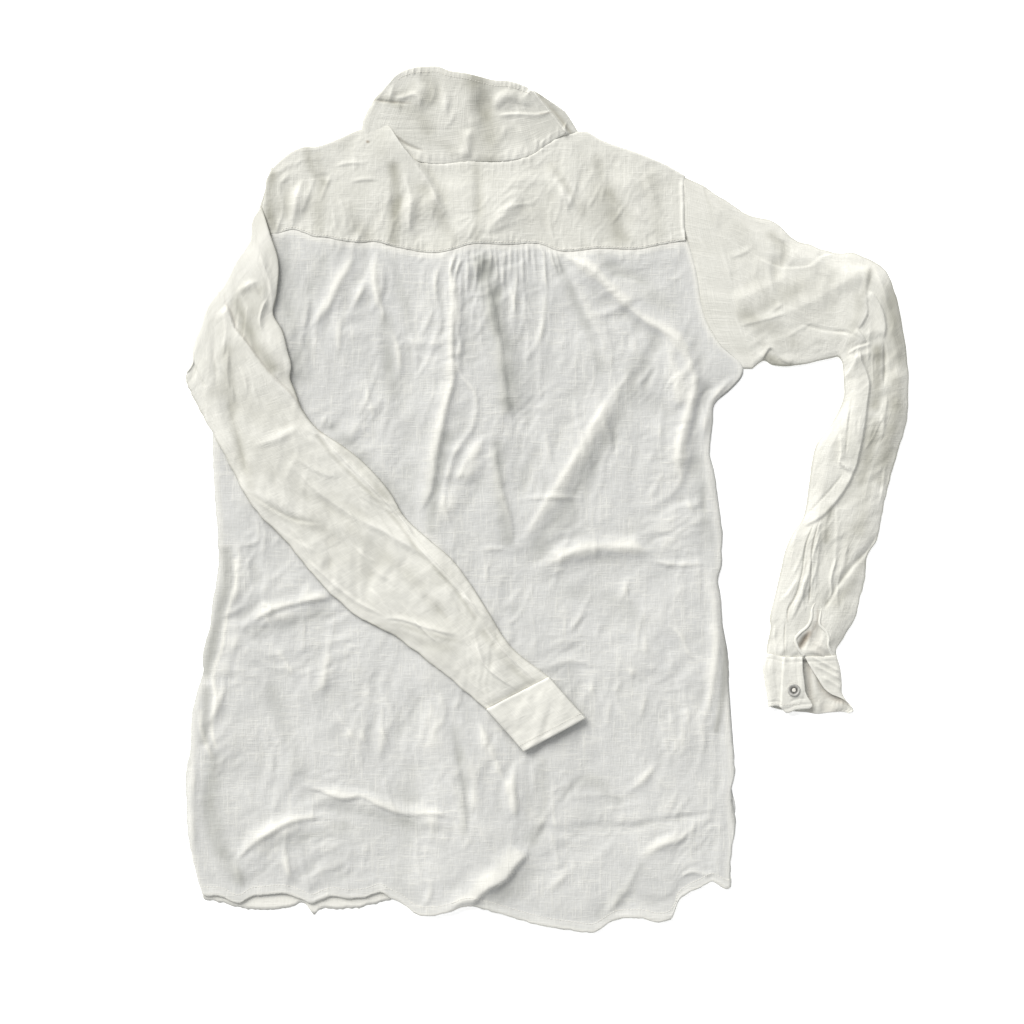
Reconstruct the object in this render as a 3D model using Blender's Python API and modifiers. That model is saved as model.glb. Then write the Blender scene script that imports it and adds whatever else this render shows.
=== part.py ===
"""A white linen button-up shirt, laid flat with its back up, its collar up and its left sleeve over its back.

Layout places are in millimetres. x runs to the right and y runs down, as the shirt is seen from above, and
heights are above the surface that it lies on. Left and right are the wearer's, and the wearer's left is at the
left of the layout. Each cloth piece is a grid of points on its outer side, and Solidify gives it its wall.
"""

import collections
import math

import bmesh
import bpy
import numpy as np

MM = 0.001

# Sizes of the cloth, in millimetres
CLOTH = 1.0
DOUBLED_CLOTH = 1.2
SEAM_GAP = 0.3
RIGHT_ARMHOLE_GAP = 1.0
LEFT_ARMHOLE_GAP = 3.2
NECK_GAP = 1.0
LEAF_GAP = 2.3
NECKLINE_GAP = 3.0

# The shirt's main sizes and the layout's middle
LAYOUT_MIDDLE_X = 546.96
LAYOUT_MIDDLE_Y = 501.0
SEAM_LEVEL = 240.0
HEM_LEVEL = 905.0
SHOULDER_LEVEL = 170.0
ARMPIT_LEVEL = 369.0
NECK_DROP = 65.0
COLLAR_END = 0.96
PLACKET_HALF_WIDTH = 17.0
GATHER_START = 452.0
GATHER_END = 554.0
GATHER_COUNT = 15
GATHER_HEIGHT = 1.8
GATHER_LENGTH = 30.0

# Heights of the layers
BUTTON_THICKNESS = 2.0
UNDER_PLACKET = BUTTON_THICKNESS + SEAM_GAP
OVER_PLACKET = UNDER_PLACKET + CLOTH + SEAM_GAP
PLACKET_SLOPE = 38.0
BACK_SLACK = 1.3
EDGE_ROLL = 38.0
SLEEVE_CLEARANCE = 0.85
BACK_CLEARANCE = 0.35
SEAM_HEIGHT = 4.9
STAND_HEIGHT = 6.8
LEAF_HEIGHT = 10.0
VENT_HEIGHT = 9.8

# How blunt the edges of pressed tubes are, and how far folds fade at the cloth's edges and at their own ends
EDGE_BLUNTNESS = 0.35
BODY_FADE = 14.0
YOKE_FADE = 16.0
FOLD_FADE = 0.2

# Buttons
BUTTON_DIAMETER = 12.6
BUTTON_RIM = 1.7
BUTTON_DISH = 0.5
BUTTON_HOLE = 1.9
BUTTON_HOLE_SPACING = 2.9
BUTTON_STEPS = 14
FRONT_BUTTON_COUNT = 7
FIRST_FRONT_BUTTON = 262.0
FRONT_BUTTON_SPACING = 88.0

# Edges of the body. The first pair of tables gives x at a y, the others y at an x
BODY_LEFT = (
    (169, 273), (190, 277), (215, 280), (236, 281), (265, 278), (300, 270), (325, 260), (348, 243),
    (369, 218), (388, 214), (435, 213), (480, 214), (540, 217), (600, 213), (645, 205), (690, 198),
    (730, 191), (780, 186), (825, 187), (855, 190), (880, 195), (905, 203),
)
BODY_RIGHT = (
    (176, 685), (207, 684.5), (230, 685), (249, 691), (276, 698), (304, 702), (322, 707), (345, 721),
    (369, 744), (390, 730), (401, 717), (440, 711), (473, 714), (497, 718), (534, 722), (565, 722),
    (580, 718), (630, 723), (660, 728), (705, 730), (765, 734), (795, 732), (835, 736), (870, 732), (905, 731),
)
YOKE_TOP = (
    (273, 168), (286, 156), (301, 148), (316, 147), (339, 139), (360, 130), (376, 127), (390, 126.5),
    (397, 138), (407, 152), (416, 161), (430, 163.5), (445, 164), (465, 161.5), (503, 161.5), (515, 160),
    (531, 155.5), (549, 143.5), (561, 136.5), (572, 133.5), (585, 131.5), (599, 139), (640, 154), (670, 167),
    (685, 176),
)
YOKE_SEAM = (
    (279, 234), (293, 230), (314, 237), (341, 241), (378, 242.5), (408, 250), (438, 253.5), (453, 250.5),
    (467, 246), (506, 245.5), (545, 246), (554, 250), (600, 249), (640, 249.5), (662, 245), (685, 241),
)
BACK_HEM = (
    (188, 888), (200, 894), (221, 896), (241, 903), (255, 896), (287, 894), (313, 903), (333, 896),
    (365, 897), (386, 894), (402, 903), (415, 913), (435, 915), (452, 911), (464, 906), (489, 910),
    (515, 918), (545, 926), (594, 932), (610, 922), (638, 918), (667, 920), (677, 904), (687, 894),
    (713, 882), (727, 889), (736, 880),
)
FRONT_HEM = (
    (188, 890), (202, 898), (243, 908), (269, 910), (306, 905), (313, 913), (321, 909), (356, 908),
    (393, 900), (430, 901), (500, 903), (600, 908), (660, 900), (700, 880), (736, 868),
)
PLACKET_MIDDLE = ((150, 482), (262, 474), (905, 463))

# Collar lines, from the left fold to the right fold: where the stand is sewn on, where the leaf is sewn to the
# stand, and the leaf's free edge
NECK_SEAM = (
    (364, 143), (386, 153), (416, 160.5), (430, 163), (445, 163.5), (465, 161), (503, 161), (515, 159.5),
    (531, 155), (549, 143), (561, 136), (572, 133), (578, 131),
)
STAND_TOP = (
    (367, 119), (395, 128), (425, 131), (456, 130), (480, 124), (505, 117), (530, 115), (552, 112), (565, 112),
)
LEAF_EDGE = (
    (393, 79), (401, 73.5), (411, 69.5), (424, 68), (439, 68), (448, 71.5), (466, 74.5), (480, 78), (492, 81),
    (512, 83), (524, 87), (534, 92), (543, 97.5),
)

Section = collections.namedtuple("Section", "outer_x outer_y inner_x inner_y puff")

# The left sleeve where it lies on the back: its lower edge, its upper edge, and how thick it lies
LEFT_FOLD = ((261, 207), (185, 372))
FOLDED_PUFF = 4.0
FOLD_RADIUS = 2.6
LEFT_SLEEVE = (
    Section(186.5, 377, 271, 232, 4.5),
    Section(187.0, 382, 279, 262, 5.5),
    Section(189.0, 388, 278, 300, 7.0),
    Section(193.0, 396, 282, 334, 8.5),
    Section(199.0, 408, 290, 360, 9.0),
    Section(207.0, 422, 297, 393, 9.0),
    Section(224.0, 453, 313, 424, 9.0),
    Section(243.0, 490, 346, 448, 9.0),
    Section(265.0, 519, 373, 471, 8.5),
    Section(298.0, 556, 400, 510, 8.5),
    Section(334.0, 596, 431, 541, 8.0),
    Section(375.0, 627, 461, 570, 8.0),
    Section(421.0, 655, 488, 611, 7.5),
    Section(455.0, 682, 520, 651, 7.0),
    Section(486.6, 709.4, 549.4, 677.1, 6.0),
)
# The right sleeve on the surface: its outer edge round the elbow, its inner edge, and how thick it lies
RIGHT_SLEEVE = (
    Section(706, 187, 757, 364, 5.5),
    Section(733, 206, 771, 352, 7.5),
    Section(769, 221, 787, 366, 8.5),
    Section(792, 239, 806, 364, 9.0),
    Section(824, 251, 825, 360, 9.5),
    Section(856, 254, 837, 358, 11.0),
    Section(883, 268, 841, 361, 12.5),
    Section(895, 294, 842, 367, 12.0),
    Section(902, 325, 843, 376, 11.0),
    Section(907, 357, 844, 388, 10.5),
    Section(908, 391, 842, 401, 10.5),
    Section(904, 428, 831, 425, 10.5),
    Section(895, 460, 818, 445, 10.5),
    Section(886, 492, 809, 480, 10.5),
    Section(880, 524, 801, 521, 10.0),
    Section(871, 552, 786, 549, 9.5),
    Section(863, 584, 779, 578, 9.0),
    Section(855, 614, 770, 616, 8.5),
    Section(836, 651, 766, 651, 8.0),
)

Fold = collections.namedtuple("Fold", "height left right start middle end")

# Main folds of the lower back: height, reach to each side of the line, and three places that the line passes
BACK_FOLDS = (
    Fold(3.0, 14, 14, (359, 256), (341, 283), (319, 321)),
    Fold(2.5, 11, 11, (373, 275), (362, 292), (352, 310)),
    Fold(4.0, 10, 15, (376, 250), (378, 282), (383, 312)),
    Fold(3.0, 11, 11, (457, 262), (452, 362), (418, 516)),
    Fold(3.0, 16, 16, (482, 285), (505, 350), (512, 430)),
    Fold(7.0, 15, 20, (632, 351), (590, 431), (512, 555)),
    Fold(3.5, 14, 14, (553, 258), (588, 310), (606, 372)),
    Fold(5.0, 17, 15, (562, 254), (668, 332), (677, 492)),
    Fold(3.5, 15, 13, (486, 434), (468, 470), (440, 530)),
    Fold(3.0, 16, 15, (532, 572), (590, 548), (662, 553)),
    Fold(2.5, 14, 14, (310, 791), (385, 806), (457, 825)),
    Fold(3.0, 14, 14, (237, 862), (270, 834), (310, 820)),
    Fold(3.0, 16, 12, (464, 745), (470, 795), (459, 850)),
    Fold(4.0, 22, 9, (529, 752), (511, 790), (520, 835)),
    Fold(2.5, 13, 13, (638, 858), (664, 844), (697, 817)),
    Fold(4.0, 9, 24, (531, 843), (498, 880), (446, 914)),
    Fold(3.5, 15, 13, (248, 623), (292, 612), (334, 598)),
    Fold(3.0, 13, 13, (222, 540), (231, 610), (206, 730)),
    Fold(4.0, 12, 12, (712, 560), (716, 630), (712, 715)),
)
# Main folds of the yoke, and where the left shoulder is folded over the foot of the collar
YOKE_FOLDS = (
    Fold(3.0, 13, 13, (304, 178), (298, 204), (292, 226)),
    Fold(3.0, 15, 10, (404, 170), (408, 200), (405, 238)),
    Fold(2.5, 12, 12, (523, 190), (505, 214), (487, 236)),
    Fold(3.0, 14, 12, (546, 158), (562, 186), (584, 214)),
    Fold(2.5, 13, 13, (612, 160), (628, 190), (640, 226)),
)
SHOULDER_FOLD = Fold(6.4, 8, 84, (384, 96), (409, 156), (452, 222))
# Main folds on the upper sides of the sleeves and the collar. A height below nothing is a trough
LEFT_SLEEVE_FOLDS = (
    Fold(3.0, 9, 20, (224, 297), (256, 358), (302, 412)),
    Fold(-2.5, 13, 13, (229, 362), (232, 420), (246, 480)),
    Fold(2.5, 13, 13, (252, 494), (322, 518), (394, 542)),
    Fold(-2.5, 12, 12, (322, 440), (420, 552), (512, 655)),
    Fold(2.0, 12, 12, (376, 619), (418, 630), (460, 636)),
)
RIGHT_SLEEVE_FOLDS = (
    Fold(-3.0, 13, 13, (755, 256), (790, 271), (822, 260)),
    Fold(3.0, 13, 13, (832, 290), (851, 279), (871, 266)),
    Fold(3.0, 13, 11, (856, 380), (851, 430), (838, 480)),
    Fold(-2.5, 11, 11, (886, 330), (886, 362), (880, 394)),
    Fold(2.5, 12, 12, (820, 515), (810, 558), (796, 602)),
)
COLLAR_FOLDS = (
    Fold(-2.5, 13, 13, (484, 80), (479, 104), (474, 128)),
    Fold(2.5, 13, 13, (412, 80), (420, 98), (417, 116)),
    Fold(2.0, 14, 14, (496, 86), (506, 98), (518, 108)),
)


def ease(amount):
    """0 below 0, 1 above 1, and a smooth step between."""
    amount = np.clip(amount, 0, 1)
    return amount * amount * (3 - 2 * amount)


def blend(first, second, amount):
    return first + (second - first) * amount


def along(table, at):
    """The value, at each place, of the smooth line through the table's rows of place and value."""
    places, values = np.array(table, float).T
    slopes = np.gradient(values, places)
    at = np.clip(at, places[0], places[-1])
    row = np.clip(np.searchsorted(places, at) - 1, 0, len(places) - 2)
    step = places[row + 1] - places[row]
    part = (at - places[row]) / step
    rising = part * part * (3 - 2 * part)
    leaving = part * (1 - part) ** 2 * step * slopes[row]
    arriving = part * part * (part - 1) * step * slopes[row + 1]
    return values[row] * (1 - rising) + values[row + 1] * rising + leaving + arriving


def bow(start, middle, end, count=12):
    """Points of the curve that passes through three places."""
    start, middle, end = (np.array(place, float) for place in (start, middle, end))
    pull = 2 * middle - (start + end) / 2
    part = np.linspace(0, 1, count + 1)[:, None]
    return (1 - part) ** 2 * start + 2 * part * (1 - part) * pull + part**2 * end


def relief(x, y, fold):
    """How high a fold raises the cloth at each place. It fades out at both ends of its line."""
    line = bow(fold.start, fold.middle, fold.end)
    nearest = np.full(np.shape(x), np.inf)
    side = np.zeros(np.shape(x))
    done = np.zeros(np.shape(x))
    for number in range(len(line) - 1):
        (x0, y0), (dx, dy) = line[number], line[number + 1] - line[number]
        part = np.clip(((x - x0) * dx + (y - y0) * dy) / (dx * dx + dy * dy), 0, 1)
        off_x, off_y = x - x0 - part * dx, y - y0 - part * dy
        distance = np.hypot(off_x, off_y)
        closer = distance < nearest
        nearest = np.where(closer, distance, nearest)
        side = np.where(closer, off_y * dx - off_x * dy, side)
        done = np.where(closer, (number + part) / (len(line) - 1), done)
    reach = np.where(side > 0, fold.right, fold.left)
    bell = np.clip(1 - (nearest / reach) ** 2, 0, 1) ** 2
    return fold.height * bell * ease(np.minimum(done, 1 - done) / FOLD_FADE)


def from_placket(x, y):
    return x - along(PLACKET_MIDDLE, y)


def fronts_height(x, y):
    """A smooth cover over the upper sides of the two fronts."""
    beyond = np.abs(from_placket(x, y)) - PLACKET_HALF_WIDTH - 4
    return CLOTH + OVER_PLACKET * (1 - ease(beyond / (PLACKET_SLOPE + 4)))


def edge_distance(x, y):
    """How far a place lies inside the body's sides and hem."""
    sides = np.minimum(x - along(BODY_LEFT, y), along(BODY_RIGHT, y) - x)
    return np.minimum(sides, along(BACK_HEM, x) - y)


def body_level(x, y):
    """The height of the body's upper side before its folds."""
    inside = edge_distance(x, y)
    slack = BACK_SLACK * ease(inside / EDGE_ROLL)
    return fronts_height(x, y) + SEAM_GAP + CLOTH + BACK_CLEARANCE + slack


def back_height(x, y):
    """The height of the lower back's upper side."""
    raised = sum(relief(x, y, fold) for fold in BACK_FOLDS)
    return body_level(x, y) + raised * ease(edge_distance(x, y) / BODY_FADE)


def yoke_height(x, y):
    """The height of the yoke's upper side. It is low along the shoulders, where it meets the fronts."""
    raised = sum(relief(x, y, fold) for fold in YOKE_FOLDS)
    below_top = ease((y - along(YOKE_TOP, x)) / YOKE_FADE)
    level = body_level(x, np.maximum(y, SEAM_LEVEL)) + DOUBLED_CLOTH - CLOTH
    return level + raised * below_top + relief(x, y, SHOULDER_FOLD)


def body_height(x, y):
    return np.where(y < along(YOKE_SEAM, x), yoke_height(x, y), back_height(x, y))


def sleeve_rest(x, y):
    """The height on which the left sleeve lies: the body, its own start, and the surface beside them."""
    edge = along(BODY_LEFT, y)
    outside = ease((edge - x) / 30)
    own_start = 4.6 * (1 - ease((y - 384) / 30))
    return np.maximum(blend(body_height(np.maximum(x, edge), y), 0.4, outside), own_start)


def over_body(x, y):
    return sleeve_rest(x, y) + SLEEVE_CLEARANCE


def on_surface(x, y):
    return np.zeros(np.shape(x))


def plain_principled(name, colour, roughness):
    material = bpy.data.materials.new(name)
    material.use_nodes = True
    shader = material.node_tree.nodes["Principled BSDF"]
    shader.inputs["Base Color"].default_value = (*colour, 1)
    shader.inputs["Roughness"].default_value = roughness
    shader.inputs["Metallic"].default_value = 0
    return material


def single_linen(name):
    return plain_principled(name, (0.72, 0.73, 0.71), 0.9)


def doubled_linen(name):
    return plain_principled(name, (0.83, 0.82, 0.77), 0.9)


def grey_shell(name):
    return plain_principled(name, (0.42, 0.42, 0.4), 0.3)


def new_object(name, mesh, material):
    mesh.materials.append(material)
    mesh.shade_smooth()
    mesh.set_sharp_from_angle(angle=math.radians(40))
    piece = bpy.data.objects.new(name, mesh)
    bpy.data.collections["button_up_shirt"].objects.link(piece)
    return piece


def grid_mesh(name, places, closed):
    """Quads over rows of layout places with heights. A closed grid joins its last column to its first."""
    rows, columns = places.shape[:2]
    across = places[..., 0] - LAYOUT_MIDDLE_X
    up = LAYOUT_MIDDLE_Y - places[..., 1]
    points = np.stack([across, up, places[..., 2]], axis=-1).reshape(-1, 3) * MM
    faces = []
    for row in range(rows - 1):
        for column in range(columns if closed else columns - 1):
            beside = (column + 1) % columns
            first, second = row * columns, (row + 1) * columns
            faces.append((first + column, second + column, second + beside, first + beside))
    mesh = bpy.data.meshes.new(name)
    mesh.from_pydata(points.tolist(), [], faces)
    return mesh


def cloth(name, places, material, wall=CLOTH, closed=False):
    """One cloth piece: the grid is its outer side, and the wall grows inward from it."""
    piece = new_object(name, grid_mesh(name, places, closed), material)
    solidify = piece.modifiers.new("wall", "SOLIDIFY")
    solidify.thickness = wall * MM
    solidify.offset = -1
    return piece


def panel(left, right, top, bottom, levels, across, hold):
    """Layout places between four edges. Top and bottom edges fade into level rows, faster for a larger hold."""
    down = (levels - levels[0]) / (levels[-1] - levels[0])
    level, down = levels[:, None], down[:, None]
    x = blend(left(level), right(level), across)
    y = level + (top(x) - levels[0]) * (1 - down) ** hold + (bottom(x) - levels[-1]) * down**hold
    return x, y


def seam_columns():
    """Where the grid lines of the yoke and the lower back meet their seam, close together in the gathers."""
    return np.concatenate([
        np.linspace(along(BODY_LEFT, SEAM_LEVEL), 390, 7)[:-1],
        (390, 398, 407, 416, 434),
        np.linspace(GATHER_START, GATHER_END, 2 * GATHER_COUNT + 1),
        np.linspace(566, along(BODY_RIGHT, SHOULDER_LEVEL), 8),
    ])


def make_back():
    """The lower back. Its columns crowd into the gathers at the yoke and spread evenly below them."""
    columns = seam_columns()
    gathered = (columns - columns[0]) / (columns[-1] - columns[0])
    even = np.linspace(0, 1, len(gathered))
    levels = np.concatenate([
        (SEAM_LEVEL, SEAM_LEVEL + 14),
        np.linspace(SEAM_LEVEL + 34, ARMPIT_LEVEL, 5),
        np.linspace(ARMPIT_LEVEL, HEM_LEVEL, 22)[1:],
    ])
    spread = ease((levels - SEAM_LEVEL) / 260)[:, None]
    x, y = panel(
        lambda level: along(BODY_LEFT, level),
        lambda level: along(BODY_RIGHT, level),
        lambda place: along(YOKE_SEAM, place) + SEAM_GAP,
        lambda place: along(BACK_HEM, place),
        levels,
        blend(gathered, even, spread),
        hold=6,
    )
    in_gathers = (columns >= GATHER_START) & (columns <= GATHER_END)
    crest = in_gathers & ((np.cumsum(in_gathers) % 2) == 0)
    below_seam = np.clip(1 - (y - along(YOKE_SEAM, x)) / GATHER_LENGTH, 0, 1)
    height = back_height(x, y) + GATHER_HEIGHT * crest * below_seam
    return cloth("back", np.dstack([x, y, height]), single_linen("back linen"))


def make_yoke():
    """The back yoke, between the shoulders, the collar's foot and the gathered seam."""
    columns = seam_columns()
    bottom = along(YOKE_SEAM, columns)
    shoulder = along(BODY_LEFT, SHOULDER_LEVEL)
    at_top = columns + (shoulder - columns[0]) * (1 - ease((columns - columns[0]) / 60))
    down = np.linspace(0, 1, 8)[:, None]
    x = blend(at_top, columns, down)
    y = blend(along(YOKE_TOP, at_top) + NECK_GAP / 2, bottom, down)
    height = yoke_height(x, y)
    return cloth("yoke", np.dstack([x, y, height]), doubled_linen("yoke linen"), DOUBLED_CLOTH)


def front_top(x):
    """The fronts' upper edge: the shoulders, and the neckline that drops to the middle."""
    left, right = NECK_SEAM[0][0], NECK_SEAM[-1][0]
    across = np.clip((2 * x - left - right) / (right - left), -1, 1)
    neckline = along(NECK_SEAM, x) + NECK_DROP * (1 - across**2) + NECKLINE_GAP
    shoulder = along(YOKE_TOP, x) + SEAM_GAP
    return np.where((x > left) & (x < right), neckline, shoulder)


def make_front(name, left, right, lift):
    """One front, flat on the surface but for its button edge."""
    levels = np.concatenate([
        np.linspace(SHOULDER_LEVEL, ARMPIT_LEVEL, 10),
        np.linspace(ARMPIT_LEVEL, HEM_LEVEL, 9)[1:],
    ])
    across = np.concatenate([np.linspace(0, 0.66, 5), np.linspace(0.66, 1, 6)[1:]])
    if name == "front_right":
        across = 1 - across[::-1]
    x, y = panel(left, right, front_top, lambda place: along(FRONT_HEM, place), levels, across, hold=3)
    height = CLOTH + lift(from_placket(x, y))
    return cloth(name, np.dstack([x, y, height]), single_linen(name + " linen"))


def make_fronts():
    """The right front lies under the left one at the placket, and the buttons lie under both."""
    make_front(
        "front_right",
        lambda level: along(PLACKET_MIDDLE, level) - PLACKET_HALF_WIDTH,
        lambda level: along(BODY_RIGHT, level),
        lambda beyond: UNDER_PLACKET * (1 - ease((beyond - PLACKET_HALF_WIDTH) / (PLACKET_SLOPE - 12))),
    )
    make_front(
        "front_left",
        lambda level: along(BODY_LEFT, level),
        lambda level: along(PLACKET_MIDDLE, level) + PLACKET_HALF_WIDTH,
        lambda beyond: OVER_PLACKET * (1 - ease((-beyond - PLACKET_HALF_WIDTH - 3) / (PLACKET_SLOPE - 8))),
    )


def pressed(wave):
    """The side of a tube that is pressed flat, from 1 on top to -1 below, for a wave round it."""
    return np.sign(wave) * np.abs(wave) ** EDGE_BLUNTNESS


def collar_line(table, across):
    """Places on a collar line, from -1 at its left fold to 1 at its right fold."""
    start, end = table[0][0], table[-1][0]
    x = blend(start, end, (across + 1) / 2)
    return np.stack([x, along(table, x)], axis=-1)


def make_collar_band(name, lower, upper, lower_height, upper_height, rows, material):
    """A band round the neck, pressed flat: its back half is on top, and its front halves lie under it."""
    turn = np.linspace(-COLLAR_END, COLLAR_END, 35) * math.pi
    across = np.sin(turn)
    under = np.cos(turn) < 0
    side = pressed(np.cos(turn))
    part = np.linspace(0, 1, rows)[:, None]
    places = blend(collar_line(lower, across), collar_line(upper, across), part[..., None])
    drop = np.where(under, NECK_DROP * (1 - across**2), 0)
    height = blend(lower_height, upper_height, part) * (1 + side) / 2
    raised = sum(relief(places[..., 0], places[..., 1], fold) for fold in COLLAR_FOLDS)
    height += raised * np.maximum(side, 0)
    grid = np.dstack([places[..., 0], places[..., 1] + drop, height])
    return cloth(name, grid[::-1], material, DOUBLED_CLOTH)


def make_collar():
    """The stand round the neck, and the leaf above it, turned up."""
    stand_linen = doubled_linen("stand linen")
    make_collar_band("collar_stand", NECK_SEAM, STAND_TOP, SEAM_HEIGHT, STAND_HEIGHT, 4, stand_linen)
    leaf_foot = tuple((x, y - LEAF_GAP) for x, y in STAND_TOP)
    leaf_linen = doubled_linen("leaf linen")
    make_collar_band("collar_leaf", leaf_foot, LEAF_EDGE, STAND_HEIGHT, LEAF_HEIGHT, 6, leaf_linen)


def ring(count):
    """Round a pressed tube: the place across it, from 1 at the outer edge to -1, and the side, from 1 to -1."""
    turn = np.arange(count) * 2 * math.pi / count
    across = np.cos(turn)
    side = pressed(np.sin(turn))
    return across, side


def tube_section(section, rest, ring_points, folds=()):
    """One ring of a sleeve that lies on what rest gives the height of, with folds on its upper side."""
    across, side = ring_points
    part = (1 + across) / 2
    x = blend(section.inner_x, section.outer_x, part)
    y = blend(section.inner_y, section.outer_y, part)
    raised = sum(relief(x, y, fold) for fold in folds) * np.maximum(side, 0)
    return np.stack([x, y, rest(x, y) + section.puff * (1 + side) / 2 + raised], axis=-1)


def armhole_section(edge, gap, inner, outer, puff, ring_points, upside_down):
    """The ring of a sleeve along the body's edge, between two levels."""
    across, side = ring_points
    y = blend(inner, outer, (1 + across) / 2)
    height = puff * (1 - side if upside_down else 1 + side) / 2
    return np.stack([along(edge, y) + gap, y, height], axis=-1)


def fold_sections(line, puff, radius, ring_points, count=5):
    """Rings where the sleeve turns over a folded edge, from lying under it to lying over it."""
    across, side = ring_points
    lower, upper = np.array(line[1], float), np.array(line[0], float)
    way = (lower - upper) / np.hypot(*(lower - upper))
    outward = np.array((-way[1], way[0]))
    size = radius + puff / 2
    middle = blend(upper, lower, ((1 + across) / 2)[:, None]) - outward * size
    sections = []
    for turn in np.linspace(0, math.pi, count):
        from_axis = radius + puff / 2 * side
        place = middle + outward * (from_axis * math.sin(turn))[:, None]
        height = size - from_axis * math.cos(turn)
        sections.append(np.column_stack([place, height]))
    return sections


def make_left_sleeve():
    """The left sleeve: it leaves the armhole on the surface, turns over a fold and lies across the back."""
    ring_points = ring(22)
    sections = [armhole_section(BODY_LEFT, -LEFT_ARMHOLE_GAP, 173, 368, FOLDED_PUFF, ring_points, True)]
    sections += fold_sections(LEFT_FOLD, FOLDED_PUFF, FOLD_RADIUS, ring_points)
    for section in LEFT_SLEEVE:
        sections.append(tube_section(section, over_body, ring_points, LEFT_SLEEVE_FOLDS))
    return cloth("sleeve_left", np.array(sections), doubled_linen("left sleeve linen"), closed=True)


def make_right_sleeve():
    """The right sleeve, on the surface, bent at the elbow."""
    ring_points = ring(22)
    sections = [armhole_section(BODY_RIGHT, RIGHT_ARMHOLE_GAP, 369, 177, 4.2, ring_points, False)]
    for section in RIGHT_SLEEVE:
        sections.append(tube_section(section, on_surface, ring_points, RIGHT_SLEEVE_FOLDS))
    return cloth("sleeve_right", np.array(sections)[:, ::-1], doubled_linen("right sleeve linen"), closed=True)


def make_left_cuff():
    """The left cuff, a closed band, with its button under it."""
    ring_points = ring(20)
    start = Section(487.3, 710.0, 550.2, 677.6, 6.0)
    end = Section(523.5, 751.2, 586.0, 717.6, 5.0)
    sections = []
    for part in np.linspace(0, 1, 5):
        section = Section(*blend(np.array(start), np.array(end), part))
        sections.append(tube_section(section, over_body, ring_points))
    lifted = np.array(sections)
    lifted[..., 2] += (BUTTON_THICKNESS + SEAM_GAP) * ease(np.linspace(0, 3, 5))[:, None]
    return cloth("cuff_left", lifted, doubled_linen("left cuff linen"), DOUBLED_CLOTH, closed=True)


def make_right_cuff():
    """The right cuff, open: the end with the button lies on top, and the other end turns up beside it."""
    turn = np.radians(np.linspace(92, 420, 26))
    across, side = np.cos(turn), pressed(np.sin(turn))
    part = np.linspace(0, 1, 5)[:, None]
    left, right = blend(763.5, 767, part), blend(840, 852, part)
    x = blend(left, right, (1 + across) / 2)
    y = blend(651.5, 710, part) + 4 * part * ease((x - 800) / 50)
    thickness = blend(8.0, 5.4, ease(across + 0.2))
    height = thickness * (1 + side) / 2
    grid = np.dstack([x, y, height + 0 * part])
    return cloth("cuff_right", grid[:, ::-1], doubled_linen("right cuff linen"), DOUBLED_CLOTH)


def make_vent():
    """The bound edge of the slit above the right cuff, lying on the sleeve."""
    line = bow((812, 607), (797, 634), (803, 648), 8)
    across = np.linspace(-3, 3, 3)
    x = line[:, 0][:, None] + across
    y = np.repeat(line[:, 1][:, None], 3, axis=1)
    height = np.full(x.shape, VENT_HEIGHT)
    return cloth("vent_right", np.dstack([x, y, height]), doubled_linen("vent linen"))


def make_button(name, x, y, bottom, material):
    """A round button with a raised rim, a dished middle and four holes."""
    radius = BUTTON_DIAMETER / 2
    outline = (
        (0, 0), (radius - 0.5, 0), (radius, 0.7), (radius - 0.4, BUTTON_THICKNESS),
        (radius - BUTTON_RIM, BUTTON_THICKNESS), (radius - BUTTON_RIM - 0.6, BUTTON_THICKNESS - BUTTON_DISH),
        (0, BUTTON_THICKNESS - BUTTON_DISH),
    )
    mesh = bpy.data.meshes.new(name)
    points = [(across * MM, 0, height * MM) for across, height in outline]
    mesh.from_pydata(points, [(number, number + 1) for number in range(len(points) - 1)], [])
    button = new_object(name, mesh, material)
    screw = button.modifiers.new("turn", "SCREW")
    screw.steps = screw.render_steps = BUTTON_STEPS
    screw.use_merge_vertices = True
    screw.merge_threshold = 0.00001
    screw.use_normal_calculate = True
    holes = button.modifiers.new("holes", "BOOLEAN")
    holes.operation = "DIFFERENCE"
    holes.object = bpy.data.objects["button_hole_cutter"]
    button.location = ((x - LAYOUT_MIDDLE_X) * MM, (LAYOUT_MIDDLE_Y - y) * MM, bottom * MM)
    return button


def make_hole_cutter():
    """Four pins, where a button's holes are."""
    shape = bmesh.new()
    for number in range(4):
        angle = math.radians(45 + 90 * number)
        made = bmesh.ops.create_cone(
            shape, cap_ends=True, segments=6, depth=10 * MM,
            radius1=BUTTON_HOLE / 2 * MM, radius2=BUTTON_HOLE / 2 * MM,
        )
        off_x, off_y = math.cos(angle), math.sin(angle)
        away = BUTTON_HOLE_SPACING / math.sqrt(2) * MM
        bmesh.ops.translate(shape, verts=made["verts"], vec=(off_x * away, off_y * away, 0))
    mesh = bpy.data.meshes.new("button_hole_cutter")
    shape.to_mesh(mesh)
    shape.free()
    cutter = bpy.data.objects.new("button_hole_cutter", mesh)
    bpy.data.collections["cutters"].objects.link(cutter)
    cutter.hide_render = True
    cutter.display_type = "WIRE"
    return cutter


def place_cutter(cutter, button):
    """Each button has its own cutter, at its place."""
    own = cutter.copy()
    own.name = button.name + "_holes"
    own.location = button.location
    bpy.data.collections["cutters"].objects.link(own)
    button.modifiers["holes"].object = own


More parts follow.
